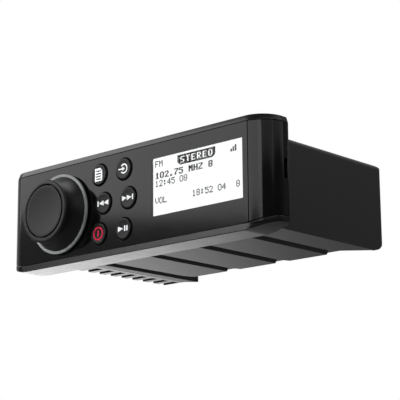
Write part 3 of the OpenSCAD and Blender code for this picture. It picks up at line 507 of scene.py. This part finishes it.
def dished(radius, front, depth, steps=10):
    """Points of a shallow hollow in a front, from its edge to its middle."""
    sphere = (radius**2 + depth**2) / (2 * depth)
    opening = math.asin(radius / sphere)
    turns = [opening * (1 - i / steps) for i in range(steps + 1)]
    return [(sphere * math.sin(a), front + sphere * (math.cos(a) - math.cos(opening))) for a in turns]


def shouldered(radius, front, rounding, steps=8):
    """Points of the round edge between a side and a front, from the side to the front."""
    turns = [math.pi / 2 * i / steps for i in range(steps + 1)]
    return [
        (radius - rounding + rounding * math.cos(a), front + rounding - rounding * math.sin(a))
        for a in turns
    ]


def dial_profiles(look):
    """Profiles of the knob, its ring and its cap: radius and place along Y."""
    knob_low, knob_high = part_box("dial_knob")
    ring_low, ring_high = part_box("dial_ring")
    cap_low, cap_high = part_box("dial_cap")
    shaft_low, shaft_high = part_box("encoder_shaft")
    nut_low, nut_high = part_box("encoder_nut")
    skirt = (knob_high.x - knob_low.x) / 2
    ring = (ring_high.z - ring_low.z) / 2
    cap = (cap_high.x - cap_low.x) / 2
    bore = (shaft_high.x - shaft_low.x) / 2 + PRESS_GAP
    hollow = (nut_high.x - nut_low.x) / 2 + look.nut_room
    hollow_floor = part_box("encoder_body")[0].y - look.push_room
    waist = knob_low.y + look.rim_depth
    flare_rise = ring_low.y - waist
    flare_run = skirt - look.waist_radius
    flare = (flare_rise**2 + flare_run**2) / (2 * flare_run)
    full = math.asin(flare_rise / flare)
    flare_steps = 14
    arc = [full * i / flare_steps for i in range(flare_steps + 1)]
    groove_floor = cap_high.y + look.groove_depth
    knob = [
        (0.0, shaft_low.y), (bore, shaft_low.y), (bore, hollow_floor),
        (hollow, hollow_floor), (hollow, knob_high.y), (skirt, knob_high.y),
        *[
            (look.waist_radius + flare * (1 - math.cos(a)), waist + flare * math.sin(a))
            for a in reversed(arc)
        ],
        (look.rim_radius, waist),
        *shouldered(look.rim_radius, knob_low.y, look.rim_round),
        (cap + look.groove, knob_low.y), (cap + look.groove, groove_floor),
        (cap - look.lip, groove_floor), (cap - look.lip, cap_high.y), (0.0, cap_high.y),
    ]
    trim = skirt + PRESS_GAP
    band = [
        (trim, ring_low.y), (ring, ring_low.y), (ring, ring_high.y), (trim, ring_high.y),
        (trim, ring_low.y),
    ]
    front = [
        (0.0, cap_high.y), (cap, cap_high.y), (cap, cap_low.y),
        *dished(cap - look.lip, cap_low.y, look.dish),
    ]
    return knob, band, front


class STEREO_OT_dial(Operator):
    """Make the turning knob, its skirt ring and its cap."""

    bl_idname = "stereo.dial"
    bl_label = "Dial"

    def execute(self, context):
        look = context.scene.stereo_dial
        axis = middle("dial_knob")
        knob, band, front = dial_profiles(look)
        body_finish = moulded_plastic(
            "Knob plastic", look.body, gloss=0.42, shine=0.16, grain=0.25 * MM, depth=0.003 * MM,
        )
        cap_finish = moulded_plastic(
            "Cap plastic", look.face, gloss=0.32, shine=0.11, grain=0.2 * MM, depth=0.003 * MM,
        )
        trim_finish = moulded_plastic(
            "Skirt ring", look.trim, gloss=0.45, shine=0.4, grain=0.2 * MM, depth=0.001 * MM,
        )
        pieces = (
            ("knob_turning", knob, body_finish, "dial_plastic", "dial_knob", look.edge),
            ("knob_skirt_ring", band, trim_finish, "dial_trim", "dial_ring", look.edge / 2),
            ("knob_face", front, cap_finish, "dial_face", "dial_cap", look.edge / 2),
        )
        for name, profile, material, slot, node, edge in pieces:
            mesh = turned(profile, axis)
            round_edges(mesh, edge, segments=3)
            piece(mesh, name, material, BODY_OF[node], [node])
        return {"FINISHED"}


# Keys. The points of the signs are in millimetres from the middle of a key.

KEY_STEPS = 96


def sign_menu(mesh, at, front, back):
    """A page with a cut corner."""
    add_plate(mesh, at([(-2.7, -3.5), (2.7, -3.5), (2.7, 2.0), (1.2, 3.5), (-2.7, 3.5)]), front, back)


def sign_menu_lines(mesh, at, front, back):
    """The lines on the page of the menu sign."""
    for i in range(4):
        z = 1.9 - 1.45 * i
        add_plate(mesh, at([(-1.8, z - 0.3), (1.8, z - 0.3), (1.8, z + 0.3), (-1.8, z + 0.3)]), front, back)


def sign_source(mesh, at, front, back):
    """An arrow that runs into an open ring."""
    centre = at([(0.6, 0.0)])[0]
    add_ring(mesh, centre, 2.3 * MM, 0.7 * MM, front, back, math.radians(-140), math.radians(280))
    add_plate(
        mesh,
        at([
            (-3.3, -0.35), (-0.4, -0.35), (-0.4, -1.2), (1.4, 0.0), (-0.4, 1.2), (-0.4, 0.35), (-3.3, 0.35),
        ]),
        front, back,
    )


def sign_skip(mesh, at, front, back, way):
    """A bar and two triangles that point one way."""
    def turned_round(points):
        return at([(way * x, z) for x, z in points][::way])

    add_plate(mesh, turned_round([(3.2, -1.4), (4.0, -1.4), (4.0, 1.4), (3.2, 1.4)]), front, back)
    for x in (-4.0, -0.5):
        add_plate(mesh, turned_round([(x, -1.35), (x + 3.4, 0.0), (x, 1.35)]), front, back)


def sign_power(mesh, at, front, back):
    """A ring with an upright bar in it."""
    add_ring(mesh, at([(0.0, 0.0)])[0], 3.2 * MM, 0.8 * MM, front, back)
    add_plate(mesh, at([(-0.4, -1.7), (0.4, -1.7), (0.4, 1.7), (-0.4, 1.7)]), front, back)


def sign_play(mesh, at, front, back):
    """A triangle and two bars."""
    add_plate(mesh, at([(-3.5, -1.45), (0.2, 0.0), (-3.5, 1.45)]), front, back)
    for x in (1.0, 2.6):
        add_plate(mesh, at([(x, -1.4), (x + 0.9, -1.4), (x + 0.9, 1.4), (x, 1.4)]), front, back)


def sign_previous(mesh, at, front, back):
    """Skip to the left."""
    sign_skip(mesh, at, front, back, -1)


def sign_next(mesh, at, front, back):
    """Skip to the right."""
    sign_skip(mesh, at, front, back, 1)


class STEREO_OT_keys(Operator):
    """Make the six press keys and their signs."""

    bl_idname = "stereo.keys"
    bl_label = "Keys"

    def execute(self, context):
        look = context.scene.stereo_keys
        cap = moulded_plastic("Key plastic", look.cap, gloss=0.24, shine=0.1, grain=0.25 * MM)
        ink = moulded_plastic("Sign print", look.sign, gloss=0.45, shine=0.4)
        red_ink = moulded_plastic("Power print", look.power, gloss=0.5, shine=0.08)
        signs = {
            "menu_key": sign_menu, "source_key": sign_source, "previous_key": sign_previous,
            "next_key": sign_next, "power_key": sign_power, "play_key": sign_play,
        }
        for node, sign in signs.items():
            low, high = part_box(node)
            axis = (low + high) / 2
            flange = (high.x - low.x) / 2
            radius = flange - look.flange_width
            step = high.y - look.flange
            profile = [
                (0.0, high.y), (flange, high.y), (flange, step), (radius, step),
                *shouldered(radius, low.y, look.shoulder),
                *dished(radius - look.lip, low.y, look.dish),
            ]
            mesh = turned(profile, axis, KEY_STEPS)
            round_edges(mesh, look.edge, segments=4)
            piece(mesh, node + "_cap", cap, BODY_OF[node], [node])

            def at(points, axis=axis):
                return [(axis.x + x * MM, axis.z + z * MM) for x, z in points]

            front, back = low.y - PRINT_DEPTH / 2, low.y + look.dish + PRINT_DEPTH / 2
            mark = bmesh.new()
            sign(mark, at, front, back)
            printed(mark, node + "_sign", red_ink if node == "power_key" else ink, BODY_OF[node])
            if node == "menu_key":
                lines = bmesh.new()
                sign_menu_lines(lines, at, front - PRINT_DEPTH / 2, front + PRINT_DEPTH / 4)
                printed(lines, node + "_sign_lines", cap, BODY_OF[node])
        return {"FINISHED"}


# Display

GLYPHS = {
    "0": ".###. #...# #...# #...# #...# #...# .###.",
    "1": "..#.. .##.. ..#.. ..#.. ..#.. ..#.. .###.",
    "2": ".###. #...# ....# ...#. ..#.. .#... #####",
    "4": "...#. ..##. .#.#. #..#. ##### ...#. ...#.",
    "5": "##### #.... ####. ....# ....# #...# .###.",
    "7": "##### ....# ...#. ..#.. .#... .#... .#...",
    "8": ".###. #...# #...# .###. #...# #...# .###.",
    ".": "..... ..... ..... ..... ..... .##.. .##..",
    ":": "..... .##.. .##.. ..... .##.. .##.. .....",
    "E": "##### #.... #.... ####. #.... #.... #####",
    "F": "##### #.... #.... ####. #.... #.... #....",
    "H": "#...# #...# #...# ##### #...# #...# #...#",
    "L": "#.... #.... #.... #.... #.... #.... #####",
    "M": "#...# ##.## #.#.# #.#.# #...# #...# #...#",
    "O": ".###. #...# #...# #...# #...# #...# .###.",
    "R": "####. #...# #...# ####. #.#.. #..#. #...#",
    "S": ".#### #.... #.... .###. ....# ....# ####.",
    "T": "##### ..#.. ..#.. ..#.. ..#.. ..#.. ..#..",
    "V": "#...# #...# #...# #...# #...# .#.#. ..#..",
    "Z": "##### ....# ...#. ..#.. .#... #.... #####",
}


def text_dots(text, column, row, pitch=6, bold=False):
    """The dots of a line of characters whose upper left dot is at that column and row."""
    dots = set()
    for place, character in enumerate(text):
        lines = GLYPHS.get(character, "").split()
        for line, cells in enumerate(lines):
            for cell, mark in enumerate(cells):
                if mark == "#":
                    x = column + place * pitch + cell
                    dots.update((x + extra, row + line) for extra in range(2 if bold else 1))
    return dots


def screen_dots():
    """All dark dots of the screen: plain numbers, units and a signal strength."""
    left, right, top, bottom = 36, 90, 2, 13
    band = {(x, y) for x in range(left, right) for y in range(top, bottom)}
    for cut, row in ((1, bottom - 3), (2, bottom - 2), (4, bottom - 1)):
        band -= {(x, row) for x in (*range(left, left + cut), *range(right - cut, right))}
    first, foot, bar, gap = 111, 11, 2, 1
    bars = {
        (first + (bar + gap) * i + x, foot - y)
        for i in range(3) for x in range(bar) for y in range(3 + 2 * i)
    }
    return (
        text_dots("FM", 3, 3)
        | (band - text_dots("STEREO", 40, 4, 8, True))
        | bars
        | text_dots("102.75 MHZ 8", 3, 16, 7, True)
        | text_dots("12:45 08", 3, 25)
        | text_dots("VOL", 3, 44)
        | text_dots("18:52 04", 57, 44)
        | text_dots("8", 118, 44)
    )


class STEREO_OT_display(Operator):
    """Make the clear window, the lit panel and its dark dots."""

    bl_idname = "stereo.display"
    bl_label = "Display"

    def execute(self, context):
        look = context.scene.stereo_display
        window_low, window_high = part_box("display_window")
        panel_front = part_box("lcd_panel")[0].y
        paint("lcd_panel", lit_panel("Lit panel", look.lit, strength=1.0))
        glass = bmesh.new()
        add_block(glass, window_low, (window_high.x, panel_front - look.bond, window_high.z))
        round_edges(glass, look.bond)
        window = clear_window("Clear window")
        piece(glass, "window_pane", window, BODY_OF["display_window"], ["display_window"])
        pitch_x = (window_high.x - window_low.x) / look.columns
        pitch_z = (window_high.z - window_low.z) / look.rows
        front, back = panel_front - look.bond / 3, panel_front + look.bond / 3
        dots = bmesh.new()
        for column, row in sorted(screen_dots()):
            x = window_low.x + (column + 0.5) * pitch_x
            z = window_high.z - (row + 0.5) * pitch_z
            half_x, half_z = pitch_x * look.dot / 2, pitch_z * look.dot / 2
            add_block(dots, (x - half_x, front, z - half_z), (x + half_x, back, z + half_z))
        ink = moulded_plastic("Dark dots", look.ink, gloss=0.5, shine=0.2)
        piece(dots, "screen_dots", ink, BODY_OF["lcd_panel"])
        milky = moulded_plastic("Light guide", (0.7, 0.7, 0.7), gloss=0.3, shine=0.5)
        paint("lcd_light_guide", milky)
        return {"FINISHED"}


# Chassis


class STEREO_OT_chassis(Operator):
    """Make the cast tray, the top cover, the rear panel and the heat sink."""

    bl_idname = "stereo.chassis"
    bl_label = "Chassis"

    def execute(self, context):
        look = context.scene.stereo_chassis
        coat = powder_paint("Chassis paint", look.paint, gloss=0.36, shine=0.24)
        fins = powder_paint("Heat sink paint", look.sink, gloss=0.2, shine=0.08)
        dressed("chassis_base", "tray", coat, look.edge)
        dressed("top_cover", "top_sheet", coat, look.edge)
        dressed("rear_panel", "rear_sheet", coat, look.edge)
        dressed("heat_sink", "fin_block", fins, look.edge)
        return {"FINISHED"}


# Fasteners


SCREW_STEPS = 40
# Shares of a screw head's radius: its flat top, and the arms of the cross and their half width
FLAT_SHARE = 0.8
ARM_SHARE = 0.62
ARM_HALF_SHARE = 0.15
# Shares of its height: the depth of the cross and the upright side
CROSS_SHARE = 0.7
SIDE_SHARE = 0.5


def add_screw(mesh, place, head, height, shank, reach):
    """Adds a cross-headed screw. Its own axis is Z, with the head's seat at zero."""
    before = set(mesh.verts)
    top = Matrix.Translation((0, 0, height))
    crown = bmesh.ops.create_circle(
        mesh, segments=SCREW_STEPS, radius=FLAT_SHARE * head, matrix=top
    )["verts"]
    crown_edges = list({e for v in crown for e in v.link_edges})
    arm, half = ARM_SHARE * head, ARM_HALF_SHARE * head
    corner = [(half, half), (half, arm), (-half, arm)]
    cross = []
    for quarter in range(4):
        turn = Matrix.Rotation(quarter * math.pi / 2, 3, "Z")
        cross += [mesh.verts.new(turn @ Vector((x, y, height))) for x, y in corner]
    cross_edges = [mesh.edges.new((cross[i - 1], cross[i])) for i in range(len(cross))]
    bmesh.ops.triangle_fill(mesh, edges=crown_edges + cross_edges, use_beauty=True)
    sunk = bmesh.ops.extrude_edge_only(mesh, edges=cross_edges)["geom"]
    sunk_verts = [g for g in sunk if isinstance(g, bmesh.types.BMVert)]
    bmesh.ops.translate(mesh, verts=sunk_verts, vec=(0, 0, -CROSS_SHARE * height))
    bmesh.ops.contextual_create(mesh, geom=[g for g in sunk if isinstance(g, bmesh.types.BMEdge)])
    rim = crown_edges
    slope, side = (1 - SIDE_SHARE) * height, SIDE_SHARE * height
    for radius, drop in ((head, slope), (head, side), (shank, 0.0), (shank, reach)):
        made = bmesh.ops.extrude_edge_only(mesh, edges=rim)["geom"]
        ring = [g for g in made if isinstance(g, bmesh.types.BMVert)]
        rim = [g for g in made if isinstance(g, bmesh.types.BMEdge)]
        share = radius / ring[0].co.xy.length
        bmesh.ops.scale(mesh, verts=ring, vec=(share, share, 1.0))
        bmesh.ops.translate(mesh, verts=ring, vec=(0, 0, -drop))
    bmesh.ops.contextual_create(mesh, geom=rim)
    bmesh.ops.transform(mesh, verts=[v for v in mesh.verts if v not in before], matrix=place)


class STEREO_OT_fasteners(Operator):
    """Make the cross-headed screws of the top cover and the rear panel."""

    bl_idname = "stereo.fasteners"
    bl_label = "Fasteners"

    def execute(self, context):
        look = context.scene.stereo_chassis
        steel = plated_metal("Plated steel", look.steel, gloss=0.3)
        head, height, shank = 1.5 * MM, 1.1 * MM, 0.85 * MM
        low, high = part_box("cover_screws")
        sunk = bmesh.new()
        for x in (low.x + head, high.x - head):
            for y in (low.y + head, (low.y + high.y) / 2, high.y - head):
                place = Matrix.Translation((x, y, high.z - height))
                add_screw(sunk, place, head, height, shank, high.z - height - low.z)
        low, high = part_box("rear_panel_screws")
        rear = bmesh.new()
        for x in (low.x + head, high.x - head):
            for z in (low.z + head, high.z - head):
                place = Matrix.Translation((x, high.y - height, z)) @ Matrix.Rotation(-math.pi / 2, 4, "X")
                add_screw(rear, place, head, height, shank, high.y - height - low.y)
        for mesh, name, node in (
            (sunk, "top_screws", "cover_screws"), (rear, "rear_screws", "rear_panel_screws"),
        ):
            bmesh.ops.recalc_face_normals(mesh, faces=mesh.faces[:])
            piece(mesh, name, steel, BODY_OF[node], [node])
        for node in (
            "chassis_screws", "sink_screws", "main_board_screws", "front_board_screws",
            "clamp_screws", "encoder_nut",
        ):
            paint(node, steel)
        return {"FINISHED"}


# Sockets


class STEREO_OT_sockets(Operator):
    """Make the sockets at the back with their insulators and contacts."""

    bl_idname = "stereo.sockets"
    bl_label = "Sockets"

    def execute(self, context):
        look = context.scene.stereo_sockets
        nickel = plated_metal("Nickel plate", look.nickel, gloss=0.28)
        brass = plated_metal("Contact plate", look.brass, gloss=0.3)
        black = moulded_plastic("Connector plastic", look.moulding, gloss=0.4, shine=0.4)
        dressed("harness_socket", "harness_shell", black, look.edge)
        dressed("line_sockets", "line_sleeves", nickel, look.edge)
        dressed("antenna_socket", "aerial_sleeve", nickel, look.edge)
        dressed("network_socket", "network_sleeve", nickel, look.edge)
        self.line_insulators(look)
        self.harness_pins(look, brass)
        self.aerial_contact(brass)
        self.network_pins(brass, black)
        return {"FINISHED"}

    def line_insulators(self, look):
        """Coloured rings in the mouths of the four line sockets."""
        low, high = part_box("line_sockets")
        radius, width, half = 2.6 * MM, 1.7 * MM, 0.1 * MM
        for side, tint in ((-0.5, look.left), (0.5, look.right)):
            rings = bmesh.new()
            for level in range(2):
                place = (
                    (low.x + high.x) / 2 + side * look.line_pitch,
                    low.z + look.line_rise + level * look.line_pitch,
                )
                add_ring(rings, place, radius, width, high.y + half, high.y - half)
            name = "left" if side < 0 else "right"
            finish = moulded_plastic(f"Insulator plastic {name}", tint, gloss=0.35, shine=0.5)
            printed(rings, f"line_insulators_{name}", finish, BODY_OF["line_sockets"])

    def harness_pins(self, look, brass):
        """Two rows of square contacts in the harness socket."""
        low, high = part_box("harness_socket")
        centre = (low + high) / 2
        columns, half = 8, 0.45 * MM
        root, tip = high.y - 9.0 * MM, high.y - 2.0 * MM
        pins = bmesh.new()
        for column in range(columns):
            for row in (-0.5, 0.5):
                x = centre.x + (column - (columns - 1) / 2) * look.pin_pitch
                z = centre.z + row * look.pin_row
                add_block(pins, (x - half, root, z - half), (x + half, tip, z + half))
        round_edges(pins, 0.12 * MM)
        piece(pins, "harness_pins", brass, BODY_OF["harness_socket"])

    def aerial_contact(self, brass):
        """Split contact tube in the middle of the aerial socket."""
        low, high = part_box("antenna_socket")
        axis = Vector(((low.x + high.x) / 2, 0.0, high.z - (high.x - low.x) / 2))
        root, tip = high.y - 13.0 * MM, high.y - 4.0 * MM
        inner, outer = 0.7 * MM, 1.5 * MM
        profile = [(inner, root), (outer, root), (outer, tip), (inner, tip), (inner, root)]
        tube = turned(profile, axis, SMALL_TURN_STEPS)
        round_edges(tube, 0.2 * MM)
        piece(tube, "aerial_contact", brass, BODY_OF["antenna_socket"])

    def network_pins(self, brass, black):
        """Dark insert and five round pins of the network socket."""
        low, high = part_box("network_socket")
        axis = Vector(((low.x + high.x) / 2, 0.0, high.z - (high.x - low.x) / 2))
        floor, radius = high.y - 2.0 * MM, 4.1 * MM
        front = floor + 0.1 * MM
        profile = [(0.0, floor), (radius, floor), (radius, front), (0.0, front)]
        disc = turned(profile, axis, SMALL_TURN_STEPS)
        piece(disc, "network_insert", black, BODY_OF["network_socket"])
        pins = bmesh.new()
        count, circle, pin_length = 5, 2.4 * MM, 1.2 * MM
        for i in range(count):
            turn = math.tau * i / count
            x, z = axis.x + circle * math.cos(turn), axis.z + circle * math.sin(turn)
            place = Matrix.Translation((x, floor + pin_length / 2, z))
            bmesh.ops.create_cone(
                pins, segments=24, radius1=0.5 * MM, radius2=0.4 * MM, depth=pin_length, cap_ends=True,
                matrix=place @ Matrix.Rotation(-math.pi / 2, 4, "X"),
            )
        piece(pins, "network_pins", brass, BODY_OF["network_socket"])


# Works inside


class STEREO_OT_works(Operator):
    """Give the pieces inside their finishes."""

    bl_idname = "stereo.works"
    bl_label = "Works"

    def execute(self, context):
        board = circuit_board("Circuit board")
        black = moulded_plastic("Chip plastic", (0.012, 0.012, 0.013), gloss=0.5, shine=0.4)
        cream = moulded_plastic("Connector cream", (0.62, 0.56, 0.42), gloss=0.4, shine=0.45)
        green = moulded_plastic("Encoder plastic", (0.05, 0.16, 0.07), gloss=0.45, shine=0.4)
        blue = moulded_plastic("Capacitor sleeve", (0.02, 0.035, 0.11), gloss=0.3, shine=0.5)
        tin = plated_metal("Tinned sheet", (0.6, 0.61, 0.62), gloss=0.32)
        finishes = {
            board: ("front_board", "main_board"),
            black: ("amplifier_chip", "processor_chip", "key_switches"),
            cream: ("link_header", "link_socket", "encoder_rotor"),
            green: ("encoder_body",),
            blue: ("filter_capacitors",),
            tin: ("tuner_module", "chip_clamp", "encoder_shaft"),
            wound_wire("Copper wire"): ("choke_coil",),
        }
        for material, nodes in finishes.items():
            for node in nodes:
                paint(node, material)
        return {"FINISHED"}


# Stage

FLOOR_HALF = 4.0
SENSOR_WIDTH = 36.0
# The way from the stereo to the bright side of the room, and where along it the shade and the fill begin
BRIGHT_SIDE = Vector((-0.75, 0.35, 0.56))
SHADE_END = -0.6
FILL_END = 0.8
FULL_SPREAD = math.pi
# Narrow beam of the lamps near the floor, which keeps them off it
LOW_SPREAD = math.radians(36)
# Name, place, the solid that it points at, width, height, power and beam
LAMPS = (
    ("Front softbox", (-0.85, -0.72, 0.58), "front_panel", 1.1, 0.7, 11.3, FULL_SPREAD),
    ("Top softbox", (0.0, 0.35, 0.95), "front_panel", 0.7, 0.6, 6.0, FULL_SPREAD),
    ("Strip softbox", (0.126, -1.2, 0.34), "front_panel", 1.56, 0.18, 4.6, FULL_SPREAD),
    ("Overhead softbox", (0.86, -0.58, 0.615), "front_panel", 1.35, 0.7, 4.0, FULL_SPREAD),
    ("Side softbox", (1.02, 0.34, 0.64), "front_panel", 1.2, 0.7, 3.2, FULL_SPREAD),
    ("Rear softbox", (-0.86, 0.62, -0.2), "right_screw_cover", 0.8, 0.3, 0.12, LOW_SPREAD),
    ("Low softbox", (-0.54, -0.86, -0.3), "front_panel", 0.7, 0.18, 0.24, LOW_SPREAD),
)


def softbox(name, place, target, width, height, power, spread):
    """A large soft lamp that the camera doesn't see."""
    data = bpy.data.lights.new(name, "AREA")
    data.shape = "RECTANGLE"
    data.size, data.size_y = width, height
    data.energy = power
    data.spread = spread
    lamp = bpy.data.objects.new(name, data)
    lamp.location = place
    lamp.rotation_euler = (Vector(target) - Vector(place)).to_track_quat("-Z", "Y").to_euler()
    lamp.visible_camera = False
    bpy.context.scene.collection.objects.link(lamp)


def white_surroundings(fill, shade):
    """A world that is white to the camera and the glass, and a room with a dark side to the stereo."""
    world = bpy.data.worlds.new("Studio")
    world.use_nodes = True
    nodes, links = world.node_tree.nodes, world.node_tree.links
    way = nodes.new("ShaderNodeVectorMath")
    way.operation = "DOT_PRODUCT"
    way.inputs[1].default_value = BRIGHT_SIDE
    links.new(nodes.new("ShaderNodeTexCoord").outputs["Generated"], way.inputs[0])
    light = nodes.new("ShaderNodeMapRange")
    light.interpolation_type = "SMOOTHSTEP"
    light.inputs["From Min"].default_value = SHADE_END
    light.inputs["From Max"].default_value = FILL_END
    light.inputs["To Min"].default_value = shade
    light.inputs["To Max"].default_value = fill
    links.new(way.outputs["Value"], light.inputs["Value"])
    room = nodes["Background"]
    room.inputs["Color"].default_value = (1.0, 1.0, 1.0, 1.0)
    links.new(light.outputs["Result"], room.inputs["Strength"])
    white = nodes.new("ShaderNodeBackground")
    white.inputs["Color"].default_value = (1.0, 1.0, 1.0, 1.0)
    white.inputs["Strength"].default_value = 1.0
    path = nodes.new("ShaderNodeLightPath")
    seen = nodes.new("ShaderNodeMath")
    seen.operation = "MAXIMUM"
    links.new(path.outputs["Is Camera Ray"], seen.inputs[0])
    links.new(path.outputs["Is Transmission Ray"], seen.inputs[1])
    mix = nodes.new("ShaderNodeMixShader")
    links.new(seen.outputs["Value"], mix.inputs["Fac"])
    links.new(room.outputs["Background"], mix.inputs[1])
    links.new(white.outputs["Background"], mix.inputs[2])
    links.new(mix.outputs["Shader"], nodes["World Output"].inputs["Surface"])
    bpy.context.scene.world = world


class STEREO_OT_stage(Operator):
    """Set the floor, the white surroundings, the lamps and the camera."""

    bl_idname = "stereo.stage"
    bl_label = "Stage"

    def execute(self, context):
        look = context.scene.stereo_stage
        ground = bmesh.new()
        level = Matrix.Translation((0, 0, -look.floor))
        bmesh.ops.create_grid(ground, x_segments=1, y_segments=1, size=FLOOR_HALF, matrix=level)
        data = bpy.data.meshes.new("floor")
        ground.to_mesh(data)
        ground.free()
        data.materials.append(plain_floor("Pale floor", look.ground, look.bounce))
        floor = bpy.data.objects.new("floor", data)
        context.scene.collection.objects.link(floor)
        white_surroundings(look.fill, look.shade)
        for name, place, node, width, height, power, spread in LAMPS:
            softbox(name, place, middle(node), width, height, power, spread)
        camera = bpy.data.cameras.new("Camera")
        camera.sensor_width = SENSOR_WIDTH
        camera.lens = look.lens
        camera.clip_start = 0.01
        holder = bpy.data.objects.new("Camera", camera)
        holder.location = look.place
        holder.rotation_euler = Euler(look.turn, "XYZ")
        context.scene.collection.objects.link(holder)
        context.scene.camera = holder
        context.scene.view_settings.view_transform = "Standard"
        return {"FINISHED"}


# Add-on


OPERATORS = (
    STEREO_OT_stage, STEREO_OT_facia, STEREO_OT_dial, STEREO_OT_keys, STEREO_OT_display,
    STEREO_OT_chassis, STEREO_OT_fasteners, STEREO_OT_sockets, STEREO_OT_works,
)
SETTINGS = {
    "stereo_facia": FaciaSettings, "stereo_dial": DialSettings, "stereo_keys": KeySettings,
    "stereo_display": DisplaySettings, "stereo_chassis": ChassisSettings,
    "stereo_sockets": SocketSettings, "stereo_stage": StageSettings,
}


class STEREO_PT_panel(Panel):
    """Lists the pieces of the stereo."""

    bl_idname = "STEREO_PT_panel"
    bl_label = "Marine stereo"
    bl_space_type = "VIEW_3D"
    bl_region_type = "UI"
    bl_category = "Stereo"

    def draw(self, context):
        for operator in OPERATORS:
            self.layout.operator(operator.bl_idname)


def register():
    """Registers the settings, the operators and the panel."""
    for cls in (*SETTINGS.values(), *OPERATORS, STEREO_PT_panel):
        bpy.utils.register_class(cls)
    for name, cls in SETTINGS.items():
        setattr(bpy.types.Scene, name, PointerProperty(type=cls))


def unregister():
    """Removes what register added."""
    for name in SETTINGS:
        delattr(bpy.types.Scene, name)
    for cls in (STEREO_PT_panel, *reversed(OPERATORS), *reversed(SETTINGS.values())):
        bpy.utils.unregister_class(cls)


def main():
    """Makes every piece."""
    register()
    bpy.ops.stereo.stage()
    bpy.ops.stereo.facia()
    bpy.ops.stereo.dial()
    bpy.ops.stereo.keys()
    bpy.ops.stereo.display()
    bpy.ops.stereo.chassis()
    bpy.ops.stereo.fasteners()
    bpy.ops.stereo.sockets()
    bpy.ops.stereo.works()


if __name__ == "__main__":
    main()
